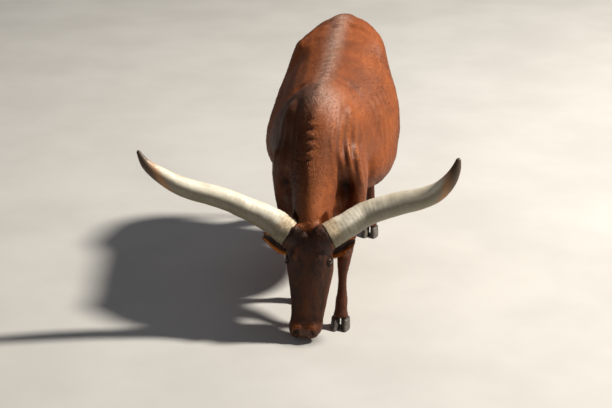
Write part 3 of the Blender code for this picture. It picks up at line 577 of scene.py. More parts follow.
def lip_points():
    """The line between the lips, in the head's frame, from corner to corner."""
    points = [LIP_CORNER]
    for turn in np.linspace(0, math.pi, 25):
        cosine = math.cos(turn)
        points.append((LIP_WIDTH * cosine, 0.472 + 0.064 * math.sin(turn), -0.102 + 0.012 * cosine ** 2))
    points.append((-LIP_CORNER[0], *LIP_CORNER[1:]))
    return np.array(points)


def nostril_reach(local, side):
    """Distance from a nostril's middle, 1 at its rim."""
    across, down, out = (local - np.array((side * NOSTRIL_PLACE[0], *NOSTRIL_PLACE[1:]))).T
    cosine = math.cos(NOSTRIL_LEAN * side)
    sine = math.sin(NOSTRIL_LEAN * side)
    wide = (across * cosine + out * sine) / NOSTRIL_RADII[0]
    tall = (-across * sine + out * cosine) / NOSTRIL_RADII[1]
    return np.sqrt(wide ** 2 + tall ** 2 + (down / NOSTRIL_RADII[2]) ** 2)


def carve_face(places, normals):
    """Nostrils and the line between the lips."""
    local = to_head(places)
    moved = places.copy()
    near = np.nonzero((local[:, 1] > 0.38) & (local[:, 2] < -0.05))[0]
    distance = distances(local[near], spline(lip_points(), 120)).min(axis=1)
    moved[near] -= normals[near] * (LIP_DEPTH * bell(distance, LIP_HALF))[:, None]
    for side in (-1, 1):
        reach = nostril_reach(local, side)
        inward = -TURN_ROWS[:, 1] * 0.9 - TURN_ROWS[:, 0] * side * 0.4
        moved += inward[None, :] * (NOSTRIL_DEPTH * falling(reach, 0.40, 1.10))[:, None]
        moved += normals * (NOSTRIL_RIM * bell(reach - 1.35, 0.30))[:, None]
    return moved


def seat_eyes(places, normals):
    """Press the skin in round each eyeball, so that the lids close on it."""
    moved = places.copy()
    for side in (-1, 1):
        distance = np.linalg.norm(places - np.array(eye_centre(side)), axis=1)
        moved -= normals * (0.010 * falling(distance, 0.020, 0.030))[:, None]
    return moved


SHOULDER = ((0.200, 0.345, 0.870), (0.100, 0.150, 0.120))


def smooth_base(mesh):
    """Even out the melted skin, most at the shoulder, and split the faces of the head."""
    put_places(mesh, relax(mesh, 14))
    places = places_of(mesh)
    shoulder = np.minimum(1.0, 1.3 * blob(mirrored(places - SHIFT_ROW), *SHOULDER))
    put_places(mesh, blend(places, relax(mesh, 14, push=0.5), shoulder))
    divide_faces(mesh, on_head(face_middles(mesh), 0.03) > 0.5)
    middles = to_head(face_middles(mesh))
    fine = blob(mirrored(middles), EYE_PLACE, (0.060, 0.060, 0.060)) > 0.40
    divide_faces(mesh, fine | (middles[:, 1] > 0.45) & (on_head(face_middles(mesh)) > 0.5))
    put_places(mesh, relax(mesh, 4))


def make_skin(material):
    skin = melted_skin()
    mesh = skin.data
    smooth_base(mesh)
    places = places_of(mesh)
    made = places - SHIFT_ROW
    rise = (trunk_relief(made) + crest_marks(made)[0] + leg_relief(made)) * (1 - on_head(places))
    rise += head_relief(places) - SKIN_DEPTH
    places = places + normals_of(mesh) * rise[:, None]
    put_places(mesh, places)
    normals = normals_of(mesh)
    places = seat_eyes(carve_face(places, normals), normals)
    put_places(mesh, places)
    mesh.shade_smooth()
    put_marks(mesh, places)
    unwrap(skin)
    mesh.materials.append(material)
    return skin


# Markings of the coat

NOSE_RUN = (0.16, 0.26, 0.40, 0.46)
NOSE_WING_HIGHLIGHT = ((0.043, 0.476, -0.014), (0.026, 0.016, 0.026))
# Painted highlight along a fold of the right brow.
RIGHT_BROW_HIGHLIGHT = ((-0.054, 0.085, 0.010), (-0.062, 0.155, 0.000), 0.009)
# Painted shade round each eye.
EYE_PAINTED_SHADE = ((EYE_PLACE[0], EYE_PLACE[1] + 0.004, EYE_PLACE[2]), (0.030, 0.036, 0.028))
# Painted shade in the hollow between the neck and the shoulder.
SHOULDER_HOLLOW_SHADE = ((0.152, 0.250, 0.675), (0.034, 0.120, 0.080))
BELLY_RUN = (0.25, 0.35, 1.10, 1.25)
# Painted sheen over the withers: a greyish reflection of the sky painted into the coat.
WITHERS_SHEEN = ((0.000, 0.370, 1.090), (0.085, 0.120, 0.075))
UDDER = ((0, 1.16, 0.62), (0.10, 0.14, 0.08))


def brow_reach(local):
    """How far down the face from the uneven border of its dark hair."""
    reach = local[:, 1] - 0.020 * bell(local[:, 0], 0.040)
    return reach + 0.018 * rising(local[:, 0], 0.0, 0.06)


def face_marks(local, head, crown):
    """Dark and wet on the face, with painted shade in the nostrils and round the eyes, and painted
    highlights on the nose's wings and the right brow.
    """
    sided = mirrored(local)
    across, down, out = sided.T
    dark = 0.93 * crown * rising(brow_reach(local), -0.036, -0.008)
    dark *= 1 - 0.85 * rising(-out, 0.036, 0.086)
    dark -= 0.16 * head * bell(across, 0.030) * band(down, NOSE_RUN) * rising(out, -0.06, -0.03)
    dark = blend(dark, 0.70, head * rising(down, 0.430, 0.470))
    # Painted highlight: the wings of the nose are painted lighter and less wet.
    wing = blob(sided, *NOSE_WING_HIGHLIGHT) * head
    # Painted shade inside the nostrils.
    pit = np.maximum(*(falling(nostril_reach(local, side), 0.55, 0.95) for side in (-1, 1)))
    dark = np.maximum(dark - 0.55 * wing, 1.1 * pit) - 0.45 * ridge(local, *RIGHT_BROW_HIGHLIGHT)
    dark = np.maximum(dark, 0.95 * blob(sided, *EYE_PAINTED_SHADE) * head)
    wet = head * rising(down, 0.482, 0.500) * (1 - 0.7 * wing) * (1 - pit)
    return dark, wet


def body_shade_and_darks(made, head, loose, wave):
    """Masks of what is dark behind the head: shins, darker and with painted shade; painted shade on the
    right side, between the crest's knobs, in the grooves of the folds and in the shoulder hollow.
    """
    x, y, z = made.T
    return (
        # Lower legs: darker hair, and painted shade of the body and horns.
        0.74 * falling(z, 0.34, 0.56) * (1 - head),
        # Painted shade on the animal's right side of the neck and shoulders, away from the key light.
        0.66 * rising(-x, -0.015, 0.090) * falling(y, 0.42, 0.62) * (1 - head),
        # Painted shade between the crest's knobs.
        0.90 * crest_marks(made)[1],
        # Painted shade in the grooves of the loose skin's folds.
        0.50 * loose * rising(-wave, 0.0, 0.8),
        1.1 * blob(mirrored(made), *SHOULDER_HOLLOW_SHADE),
    )


def coat_marks(places):
    """Masks of the coat's colour: dark with painted shade, pale with painted highlights, painted sheen,
    wet and bare, and where the hair hangs.
    """
    made = places - SHIFT_ROW
    x, y, z = made.T
    local = to_head(places)
    head = on_head(places)
    crown = on_head(places, 0.060)
    loose, wave = shoulder_folds(made)
    dark, wet = face_marks(local, head, crown)
    for mask in body_shade_and_darks(made, head, loose, wave):
        dark = np.maximum(dark, mask)
    pale = 0.45 * falling(z, 0.54, 0.64) * band(y, BELLY_RUN) * (np.abs(x) < 0.27)
    for mask in (
        # Painted highlight along the crest of the neck.
        0.25 * bell(x, 0.060) * falling(y, 0.10, 0.30) * rising(z, 0.55, 0.70) * (1 - head),
        0.6 * crown * bell(brow_reach(local) + 0.042, 0.010) * (np.abs(local[:, 0]) < 0.060),
        # Painted highlight on the ridges of the loose skin's folds.
        0.40 * loose * rising(wave, 0.2, 0.9),
    ):
        pale = np.maximum(pale, mask)
    # Painted sheen: a greyish reflection of the sky painted along the spine and over the withers.
    spine = bell(x + 0.004, 0.044) * band(y, (0.25, 0.40, 1.35, 1.50)) * rising(z, 0.98, 1.06)
    frost = np.maximum(spine, 1.2 * blob(made, *WITHERS_SHEEN))
    upright = np.maximum(falling(z, 0.54, 0.66), falling(y, 0.14, 0.24))
    return {"dark": dark, "pale": pale, "frost": frost, "wet": wet, "bare": blob(made, *UDDER),
            "upright": upright}


def put_marks(mesh, places, **fixed):
    """Store the markings on a mesh, with one value all over for those that are given."""
    marks = coat_marks(places)
    marks.update({name: np.full(len(places), value) for name, value in fixed.items()})
    mark(mesh, **marks)


# Materials


class Look:
    """A material's nodes, joined by short calls; every input is a value or another node's output."""

    def __init__(self, name):
        self.material = bpy.data.materials.new(name)
        self.material.use_nodes = True
        self.tree = self.material.node_tree
        self.place = self.add("TexCoord", {}, "Object")
        self.relief = {}

    def put(self, node, inputs):
        for key, value in inputs.items():
            socket = node.inputs[key]
            if isinstance(value, bpy.types.NodeSocket):
                self.tree.links.new(value, socket)
            else:
                socket.default_value = (*value, 1.0) if socket.type == "RGBA" else value

    def add(self, kind, inputs, output=0, **settings):
        """The output of a new node."""
        node = self.tree.nodes.new("ShaderNode" + kind)
        for key, value in settings.items():
            setattr(node, key, value)
        self.put(node, inputs)
        return node.outputs[output]

    def noise(self, scale, detail=4.0, roughness=0.55, stretch=(1.0, 1.0, 1.0)):
        vector = self.add("Mapping", {"Vector": self.place, "Scale": stretch})
        inputs = {"Vector": vector, "Scale": scale, "Detail": detail, "Roughness": roughness}
        return self.add("TexNoise", inputs)

    def mark(self, name):
        return self.add("Attribute", {}, "Fac", attribute_name=name)

    def math(self, operation, first, second):
        return self.add("Math", {0: first, 1: second}, operation=operation)

    def times(self, first, second):
        return self.math("MULTIPLY", first, second)

    def span(self, value, low, high, to_low=0.0, to_high=1.0):
        """A value read from low to high, eased, as to_low to to_high."""
        inputs = {"Value": value, "From Min": low, "From Max": high, "To Min": to_low, "To Max": to_high}
        return self.add("MapRange", inputs, interpolation_type="SMOOTHSTEP")

    def mix(self, factor, first, second):
        """first where factor is 0, second where it is 1; colours take sockets 6 and 7 of the node."""
        return self.add("Mix", {0: factor, 6: first, 7: second}, 2, data_type="RGBA", clamp_factor=True)

    def tone(self, value, first, second, low=0.35, high=0.70):
        """first where value is low, second where it is high."""
        return self.mix(self.span(value, low, high), first, second)

    def rough(self, value, smooth, coarse):
        """Roughness that follows a noise."""
        return self.span(value, 0.3, 0.7, smooth, coarse)

    def layer(self, under, top, value, low, high, strength):
        """top over under, where value passes from low to high."""
        return self.mix(self.span(value, low, high, to_high=strength), under, top)

    def bump(self, height, strength, distance):
        """Raise the surface, on top of any bump before."""
        inputs = {"Strength": strength, "Distance": distance, "Height": height, **self.relief}
        self.relief = {"Normal": self.add("Bump", inputs)}

    def finish(self, colour, rough, **others):
        """The finished material; the others are inputs of its shader, with _ for each space."""
        named = {key.replace("_", " "): value for key, value in others.items()}
        inputs = {"Base Color": colour, "Roughness": rough, **self.relief, **named}
        self.put(self.tree.nodes["Principled BSDF"], inputs)
        return self.material


COAT_RED = (0.265, 0.062, 0.011)
COAT_DEEP = (0.125, 0.026, 0.0055)
COAT_WARM = (0.460, 0.150, 0.026)
FACE_DARK_AND_SHADE = (0.022, 0.0075, 0.0040)
MUZZLE = (0.075, 0.031, 0.014)
PALE_AND_HIGHLIGHT = (0.400, 0.130, 0.035)
PAINTED_SHEEN_GREY = (0.400, 0.245, 0.185)
UDDER_SKIN = (0.330, 0.130, 0.085)
COAT_SHEEN = (0.80, 0.62, 0.55)
HORN_GREY, HORN_IVORY, HORN_STREAK = (0.56, 0.50, 0.38), (0.80, 0.75, 0.63), (0.42, 0.36, 0.24)
SCAB_DARK, SCAB_LIGHT = (0.40, 0.28, 0.15), (0.62, 0.50, 0.34)
HORN_SHADE_DARK, HORN_SHADE_LIGHT = (0.080, 0.062, 0.030), (0.120, 0.110, 0.062)
HORN_LIT_UNDER = (0.24, 0.17, 0.080)
TIP_TAN, TIP_DARK = (0.40, 0.160, 0.040), (0.050, 0.032, 0.020)
HOOF_DARK, HOOF_LIGHT, HOOF_RING = (0.045, 0.036, 0.030), (0.130, 0.112, 0.095), (0.21, 0.185, 0.160)
IRIS_DARK, IRIS_LIGHT = (0.020, 0.009, 0.005), (0.060, 0.024, 0.010)
EYE_WHITE_DARK, EYE_WHITE_LIGHT = (0.055, 0.036, 0.030), (0.100, 0.068, 0.056)
PUPIL = (0.002, 0.002, 0.004)
LID_DARK, LID_LIGHT = (0.010, 0.005, 0.004), (0.040, 0.016, 0.010)
EAR_INSIDE, EAR_PAINTED_GLOW = (0.030, 0.014, 0.010), (0.95, 0.33, 0.045)
SWITCH_DARK, SWITCH_LIGHT = (0.020, 0.008, 0.005), (0.110, 0.040, 0.018)
FLOOR_DARK, FLOOR_LIGHT = (0.52, 0.51, 0.49), (0.57, 0.56, 0.54)


def coat_colour(look, strands, locks):
    """The red coat, with its pale markings and painted highlights, painted sheen, and dark markings and
    painted shade.
    """
    colour = look.tone(look.noise(3.2), COAT_DEEP, COAT_RED, high=0.68)
    colour = look.layer(colour, COAT_WARM, locks, 0.50, 0.80, 0.32)
    colour = look.layer(colour, COAT_WARM, strands, 0.40, 0.75, 0.30)
    # Pale markings, and painted highlights on the crest of the neck and on the ridges of the folds.
    colour = look.mix(look.mark("pale"), colour, PALE_AND_HIGHLIGHT)
    # Painted sheen, greyish, along the spine and over the withers.
    grey = look.times(look.mark("frost"), look.span(locks, 0.25, 0.65, 0.45, 0.85))
    colour = look.mix(grey, colour, PAINTED_SHEEN_GREY)
    mottle = look.noise(26.0, 4.0, 0.65, (1.0, 1.0, 0.6))
    # Dark markings, and painted shade on the body and face.
    shade = look.times(look.mark("dark"), look.span(mottle, 0.40, 0.66, 1.04, 0.86))
    return look.mix(shade, colour, FACE_DARK_AND_SHADE)


def coat_material(name, hair=False):
    """The coat as skin, or as the hair on it, which is never wet or bare."""
    look = Look(name)
    along = look.noise(420.0, 2.0, 0.6, (1.0, 0.22, 0.75))
    upright = look.noise(420.0, 2.0, 0.6, (1.0, 1.0, 0.20))
    strands = look.add("Mix", {0: look.mark("upright"), 2: along, 3: upright}, data_type="FLOAT")
    locks = look.noise(46.0, 3.0, stretch=(1.0, 0.45, 0.7))
    colour = coat_colour(look, strands, locks)
    rough = look.rough(strands, 0.46, 0.64)
    if not hair:
        wet = look.mark("wet")
        colour = look.mix(look.times(wet, 0.85), colour, MUZZLE)
        colour = look.mix(look.mark("bare"), colour, UDDER_SKIN)
        rough = look.math("SUBTRACT", rough, look.times(wet, 0.22))
    look.bump(strands, 0.45, 0.0012)
    look.bump(locks, 0.16, 0.0030)
    return look.finish(colour, rough, Specular_IOR_Level=0.32, Sheen_Weight=0.03, Sheen_Roughness=0.40,
                       Sheen_Tint=COAT_SHEEN)


def horn_material(name):
    """Weathered horn: scabby and tan at the base, ivory along its length, dark at the tip, with painted
    shade below and painted light at the very bottom.
    """
    look = Look(name)
    along = look.mark("along")
    blotch = look.noise(9.0, 5.0, 0.6)
    fine = look.noise(60.0, 4.0, 0.6)
    streak = look.noise(90.0, 3.0, stretch=(0.25, 1.0, 1.0))
    # Painted shade on the horn's underside, with painted light at the very bottom; the dark tip also
    # reaches further along the underside.
    under = look.math("SUBTRACT", 1.0, look.mark("upper"))
    uneven = look.math("ADD", under, look.times(look.math("SUBTRACT", blotch, 0.5), 0.30))
    worn = look.math("ADD", look.math("ADD", along, look.times(blotch, 0.10)), look.times(under, 0.20))
    base = look.math("SUBTRACT", look.span(along, 0.02, 0.16, 1.0, 0.0), look.times(blotch, 0.5))
    scab = look.tone(fine, SCAB_DARK, SCAB_LIGHT)
    shade = look.tone(fine, HORN_SHADE_DARK, HORN_SHADE_LIGHT, high=0.65)
    colour = look.tone(blotch, HORN_GREY, HORN_IVORY)
    for top, value, low, high, strength in (
        (HORN_STREAK, streak, 0.50, 0.80, 0.35),
        (scab, base, 0.0, 0.6, 0.8),
        (shade, uneven, 0.25, 0.47, 0.82),
        (HORN_LIT_UNDER, under, 0.74, 0.95, 0.60),
        (TIP_TAN, worn, 0.90, 0.99, 0.70),
        (TIP_DARK, worn, 0.97, 1.07, 0.92),
    ):
        colour = look.layer(colour, top, value, low, high, strength)
    look.bump(streak, 0.35, 0.0020)
    look.bump(look.times(fine, look.span(along, 0.0, 0.25, 1.0, 0.15)), 0.6, 0.0035)
    return look.finish(colour, look.rough(fine, 0.38, 0.62), Subsurface_Weight=0.08,
                       Subsurface_Radius=(0.012, 0.008, 0.004))


def hoof_material(name):
    look = Look(name)
    rings = look.noise(260.0, 3.0, stretch=(0.15, 0.15, 1.0))
    grain = look.noise(300.0, 3.0, stretch=(1.0, 1.0, 0.12))
    colour = look.tone(look.noise(24.0), HOOF_DARK, HOOF_LIGHT)
    colour = look.layer(colour, HOOF_RING, rings, 0.5, 0.8, 0.4)
    look.bump(rings, 0.5, 0.0015)
    look.bump(grain, 0.35, 0.0008)
    return look.finish(colour, look.rough(grain, 0.38, 0.65))


def eye_material(name):
    """Dark brown iris with a level pupil, under a wet surface."""
    look = Look(name)
    fibres = look.noise(900.0, 2.0)
    iris = look.tone(fibres, IRIS_DARK, IRIS_LIGHT)
    white = look.tone(fibres, EYE_WHITE_DARK, EYE_WHITE_LIGHT, 0.4, 0.8)
    colour = look.mix(look.mark("pupil"), look.mix(look.mark("ring"), white, iris), PUPIL)
    look.bump(fibres, 0.05, 0.0002)
    return look.finish(colour, 0.25, Coat_Weight=1.0, Coat_Roughness=0.02, Coat_IOR=1.38)


def lid_material(name):
    look = Look(name)
    fine = look.noise(500.0, 3.0)
    look.bump(fine, 0.5, 0.0010)
    colour = look.tone(fine, LID_DARK, LID_LIGHT)
    return look.finish(colour, look.rough(fine, 0.55, 0.75), Specular_IOR_Level=0.20)


def ear_material(name):
    """Red outside, dark inside, with a painted glow on the rims where light would shine through."""
    look = Look(name)
    fine = look.noise(220.0, 3.0)
    look.bump(fine, 0.5, 0.0015)
    colour = look.mix(look.mark("inner"), look.tone(fine, COAT_DEEP, COAT_RED), EAR_INSIDE)
    colour = look.mix(look.mark("rim"), colour, EAR_PAINTED_GLOW)
    return look.finish(colour, look.rough(fine, 0.45, 0.65), Subsurface_Weight=0.60,
                       Subsurface_Radius=(0.020, 0.008, 0.003))


def switch_material(name):
    look = Look(name)
    strands = look.noise(500.0, 2.0, stretch=(1.0, 1.0, 0.06))
    look.bump(strands, 0.6, 0.0012)
    colour = look.tone(strands, SWITCH_DARK, SWITCH_LIGHT)
    return look.finish(colour, look.rough(strands, 0.38, 0.58))


def floor_material(name):
    look = Look(name)
    return look.finish(look.tone(look.noise(1.5, 3.0), FLOOR_DARK, FLOOR_LIGHT, 0.3), 0.8)


# Coat

COAT_PIECES, TUFTS_PER_PIECE = 6, 14000
TRUNK_HAIR, FACE_HAIR, LEG_HAIR, FOOT_HAIR = 0.015, 0.008, 0.010, 0.008
SPINE_EXTRA, BELLY_EXTRA, POLL_EXTRA = 0.006, 0.008, 0.020


def coat_length(places):
    """How long the hair is at each place."""
    made = places - SHIFT_ROW
    x, y, z = made.T
    head = on_head(places)
    length = blend(np.full(len(places), TRUNK_HAIR), FACE_HAIR, head)
    length = blend(length, LEG_HAIR, falling(z, 0.42, 0.55) * (1 - head))
    length = blend(length, FOOT_HAIR, falling(z, 0.10, 0.16) * (1 - head))
    length += SPINE_EXTRA * bell(x, 0.045) * rising(z, 0.70, 0.80) * falling(y, 1.3, 1.5)
    length += BELLY_EXTRA * falling(z, 0.54, 0.62) * band(y, (0.2, 0.3, 1.1, 1.2)) * (np.abs(x) < 0.25)
    return length + POLL_EXTRA * blob(to_head(places), (0.0, 0.01, 0.01), (0.075, 0.040, 0.045))


def coat_lie(places, normals):
    """The way the hair points, along the skin."""
    x, y, z = (places - SHIFT_ROW).T
    side = np.clip(x / 0.15, -1, 1)
    same = np.ones(len(x))
    flow = np.stack([0.15 * side, same, -0.55 * np.abs(side)], axis=1)
    along_neck = np.stack([0.3 * side, 0.55 * same, 0.60 * same], axis=1)
    flow = blend(flow, along_neck, falling(y, 0.14, 0.24) * rising(z, 0.45, 0.52))
    leg = np.maximum(falling(z, 0.54, 0.66), rising(y, 1.38, 1.50))
    flow = blend(flow, np.array((0.0, 0.18, -1.0)), leg)
    spread = 0.35 * np.clip(to_head(places)[:, 0] / 0.10, -1, 1)
    face = TURN_ROWS[:, 1][None, :] + TURN_ROWS[:, 0][None, :] * spread[:, None]
    flow = blend(flow, face, on_head(places))
    return unit_rows(flow - normals * (flow * normals).sum(axis=1)[:, None])


class Surface:
    """Triangles of a mesh, for picking seeded places on it."""

    def __init__(self, mesh, density):
        mesh.calc_loop_triangles()
        corners = read(mesh.loop_triangles, "vertices", 3, np.int32)
        loops = read(mesh.loop_triangles, "loops", 3, np.int32)
        uv = read(mesh.uv_layers[UV_MAP].data, "uv", 2)
        self.rows = (places_of(mesh)[corners], normals_of(mesh)[corners], uv[loops])
        a, b, c = self.rows[0].transpose(1, 0, 2)
        chance = np.linalg.norm(np.cross(b - a, c - a), axis=1) * density((a + b + c) / 3)
        self.chance = chance / chance.sum()

    def pick(self, rng, count):
        """Seeded places, with their normals and their places on the map."""
        chosen = rng.choice(len(self.chance), size=count, p=self.chance)
        u = rng.random(count)
        v = rng.random(count)
        flip = u + v > 1
        u[flip] = 1 - u[flip]
        v[flip] = 1 - v[flip]
        share = np.stack([1 - u - v, u, v], axis=1)[:, :, None]
        roots, normals, uv = ((rows[chosen] * share).sum(axis=1) for rows in self.rows)
        return roots, unit_rows(normals), uv


TUFT_TRIANGLES = np.array((
    (0, 1, 4), (0, 4, 3), (1, 2, 5), (1, 5, 4), (2, 0, 3), (2, 3, 5),
    (3, 4, 6), (4, 5, 6), (5, 3, 6), (0, 2, 1),
))
# Each corner of a tuft: how far along it, aside and up in widths, how deep in the skin
TUFT_SHAPE = np.array((
    (0.0, -0.5, 0.0, 0.0025), (0.0, 0.5, 0.0, 0.0025), (0.0, 0.0, 0.35, 0.0025),
    (0.5, -0.36, 0.0, 0.0), (0.5, 0.36, 0.0, 0.0), (0.5, 0.0, 0.252, 0.0), (1.0, 0.0, 0.0, 0.0),
))
TUFT_CURL = 0.55
TUFT_PATCH = 0.0015             # size of a tuft on the map


def tuft_mesh(name, roots, normals, lie, length, width, lift, uv, **marks):
    """Closed tapered tufts of three sides, bent along the lie."""
    count = len(roots)
    roots, normals, lie, uv = (rows[:, None, :] for rows in (roots, normals, lie, uv))
    length, width, lift = (row[:, None, None] for row in (length, width, lift))
    part, aside, above, sink = TUFT_SHAPE.T[:, None, :, None]
    up = lift * (part - TUFT_CURL * part ** 2) * length - sink + width * above
    places = roots + lie * length * part + np.cross(normals, lie) * width * aside + normals * up
    triangles = (np.arange(count)[:, None, None] * 7 + TUFT_TRIANGLES[None]).reshape(-1, 3)
    mesh = bpy.data.meshes.new(name)
    mesh.from_pydata(places.reshape(-1, 3), [], triangles)
    mesh.validate()
    mesh.shade_smooth()
    spots = (uv + np.array(circle(7))[None] * TUFT_PATCH).reshape(-1, 2)
    spots = spots[read(mesh.loops, "vertex_index", kind=np.int32)]
    layer = mesh.uv_layers.new(name=UV_MAP)
    layer.data.foreach_set("uv", np.ascontiguousarray(spots, dtype=np.float32).ravel())
    put_marks(mesh, np.repeat(roots[:, 0], 7, axis=0), **marks)
    return mesh


def coat_density(places):
    """How thickly the tufts stand: more where they break the outline."""
    made = places - SHIFT_ROW
    x, _, z = made.T
    head = on_head(places)
    local = to_head(places)
    weight = 1 + 2.5 * bell(x, 0.05) * rising(z, 0.60, 0.75) + 1.2 * head
    weight += 9.0 * blob(local, (0.0, 0.005, 0.0), (0.080, 0.045, 0.050))
    weight += 1.5 * falling(z, 0.50, 0.66) * (1 - head)
    weight *= 1 - 0.96 * head * rising(local[:, 1], 0.445, 0.475)
    weight *= 1 - np.minimum(1.0, 1.6 * blob(mirrored(local), EYE_PLACE, (0.024, 0.024, 0.024)))
    weight *= 1 - 0.9 * blob(made, (0, 1.16, 0.60), (0.09, 0.12, 0.06))
    return weight * rising(z, 0.056, 0.066)


def make_coat(skin, material):
    rng = np.random.default_rng(SEED)
    surface = Surface(skin.data, coat_density)
    pieces = []
    for index in range(COAT_PIECES):
        roots, normals, uv = surface.pick(rng, TUFTS_PER_PIECE)
        lie = coat_lie(roots, normals)
        swirl = 0.20 * np.sin(roots @ np.array((9.0, 5.0, 7.0)))
        angle = (swirl + rng.normal(0, 0.16, TUFTS_PER_PIECE))[:, None]
        lie = lie * np.cos(angle) + np.cross(normals, lie) * np.sin(angle)
        length = coat_length(roots) * rng.uniform(0.75, 1.25, TUFTS_PER_PIECE)
        width = 0.0014 + 0.085 * length
        lift = rng.uniform(0.04, 0.17, TUFTS_PER_PIECE)
        mesh = tuft_mesh("coat_%d" % index, roots, normals, lie, length, width, lift, uv)
        pieces.append(link(mesh.name, mesh, material))
    return pieces


# Horns

HORN_RINGS, HORN_SIDES = 150, 48
HORN_TIP_RADII = {1: 0.0105, -1: 0.0062}
HORN_CUT = 0.016                # the worn tips end this much short of the drawn line
TIP_LAYERS = (0.75, 0.35)       # shares of the last ring that round the tip off
GROWTH_SPACING, GROWTH_RISE = 0.021, 0.0006
HORN_MOST = 0.003               # the most that rings and roughness add


def tube_frames(points):
    """A heading, a side and an up for each point of a line, carried without twist."""
    frames = []
    normal = Vector((0, 0, 1))
    for heading in headings(points):
        normal = (normal - heading * normal.dot(heading)).normalized()
        frames.append((heading, heading.cross(normal), normal))
    return frames


def horn_line(side, stations):
    """Middles and radii of a horn's rings, up to its worn tip."""
    rows = [(*head_point(side * across, -above, out), diameter / 2)
            for across, above, out, diameter in stations]
    line = spline(rows, HORN_RINGS)
    line = line[travel_along(line[::-1, :3])[::-1] > HORN_CUT]
    return [Vector(row[:3]) for row in line], np.maximum(line[:, 3], HORN_TIP_RADII[side])


def horn_swell(spot, travel, part):
    """Uneven rings of growth and roughness, most near the base."""
    fade = max(0.0, 1 - part * 1.6)
    swell = GROWTH_RISE * fade * math.sin(travel * FULL_TURN / GROWTH_SPACING + 3 * math.sin(travel * 9))
    swell += noise.noise(spot * 22.0) * 0.0025 * (0.35 + fade)
    swell += noise.noise(spot * 75.0) * 0.0016 * max(0.0, 1 - part * 5)
    return min(swell, HORN_MOST)


def make_horn(name, side, stations, material):
    points, radii = horn_line(side, stations)
    frames = tube_frames(points)
    travel = travel_along(np.array(points))
    rings = []
    along = []
    upper = []
    for point, radius, at, (_, right, up) in zip(points, radii, travel, frames):
        part = at / travel[-1]
        ring = []
        for cosine, sine in circle(HORN_SIDES):
            outward = right * cosine + up * sine
            ring.append(point + outward * (radius + horn_swell(point + outward * radius, at, part)))
            along.append(part)
            # How much each spot faces up, which sets the painted shade below.
            upper.append(0.5 + 0.5 * outward.z)
        rings.append(ring)
    last = rings[-1]
    for share in TIP_LAYERS:
        reach = frames[-1][0] * (1 - share) * radii[-1]
        rings.append([points[-1] + (spot - points[-1]) * share + reach for spot in last])
        along += [1.0] * HORN_SIDES
        upper += [0.5] * HORN_SIDES
    mesh = ring_mesh(name, rings)
    mark(mesh, along=along, upper=upper)
    return link(name, mesh, material)


# Hooves

# Rings of a claw: height, share of its width, how far the toe and the heel draw in
CLAW_LEVELS = (
    (0.0, 0.955, 0.0045, 0.0040),
    (0.0025, 0.985, 0.0022, 0.0012),
    (0.007, 0.990, 0.0045, 0.0010),
    (0.016, 0.980, 0.0110, 0.0020),
    (0.028, 0.965, 0.0185, 0.0030),
    (0.040, 0.940, 0.0270, 0.0050),
    (0.048, 0.925, 0.0325, 0.0065),
    (0.0515, 0.900, 0.0355, 0.0090),
)
CLAW_SIDES = 44
CLAW_SQUARE = 0.84              # below 1 the outline is squarer than an oval
CLAW_GROWTH = 0.0005
TOE_NARROWING = 0.37


def make_claw(name, node, side, material):
    """One claw: sloping toe, round outer wall, straight inner wall, flat sole."""
    low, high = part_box(node)
    along, across = (np.sign(row) * np.abs(row) ** CLAW_SQUARE for row in np.array(circle(CLAW_SIDES)).T)
    narrow = 1.0 - TOE_NARROWING * np.maximum(0.0, -along) ** 2
    rings = []
    for level, (height, broad, toe_in, heel_in) in enumerate(CLAW_LEVELS):
        front = low[1] + toe_in
        back = high[1] - heel_in
        growth = CLAW_GROWTH * math.sin(level * 2.4) * (level > 1)
        out = (high[0] - low[0]) * broad * (0.5 + 0.5 * across * narrow) + growth
        x = low[0] + out if side > 0 else high[0] - out
        y = (front + back) / 2 + (back - front) / 2 * along
        rings.append(list(zip(x, y, [low[2] + height] * CLAW_SIDES)))
    return link(name, ring_mesh(name, rings), material)


# Eyes

GAZE = (0.90, 0.10, 0.42)
CORNEA_EDGE, CORNEA_BULGE = 0.80, 0.035
IRIS_EDGE, IRIS_BLUR = 0.66, 0.06
PUPIL_WIDE, PUPIL_TALL = 0.42, 0.22
LID_OUTWARD = (0.92, 0.0, 0.40)
LID_HALVES = (0.0165, 0.0090)   # of the gap between the lids, along it and across it
LID_STEPS = 48
# Across a lid: how far out from the gap's edge, how far off the eyeball's middle
LID_PROFILE = metres((
    (0.5, 12.0), (0.0, 14.2), (1.8, 16.2), (5.0, 16.0), (8.5, 13.8), (12.5, 9.5), (15.0, 2.0), (6.0, 0.0),
))


def eye_marks(mesh, centre, gaze):
    """Where the iris is, and the pupil in it, as a level oval."""
    level = Vector((math.cos(HEAD_YAW), math.sin(HEAD_YAW), 0)).cross(gaze).normalized()
    directions = unit_rows(places_of(mesh) - np.array(centre))
    facing = directions @ np.array(gaze)
    wide = directions @ np.array(level) / PUPIL_WIDE
    tall = directions @ np.array(gaze.cross(level)) / PUPIL_TALL
    pupil = np.clip((1 - wide ** 2 - tall ** 2) * 4, 0, 1) * (facing > 0)
    mark(mesh, ring=np.clip((facing - IRIS_EDGE) / IRIS_BLUR, 0, 1), pupil=pupil)


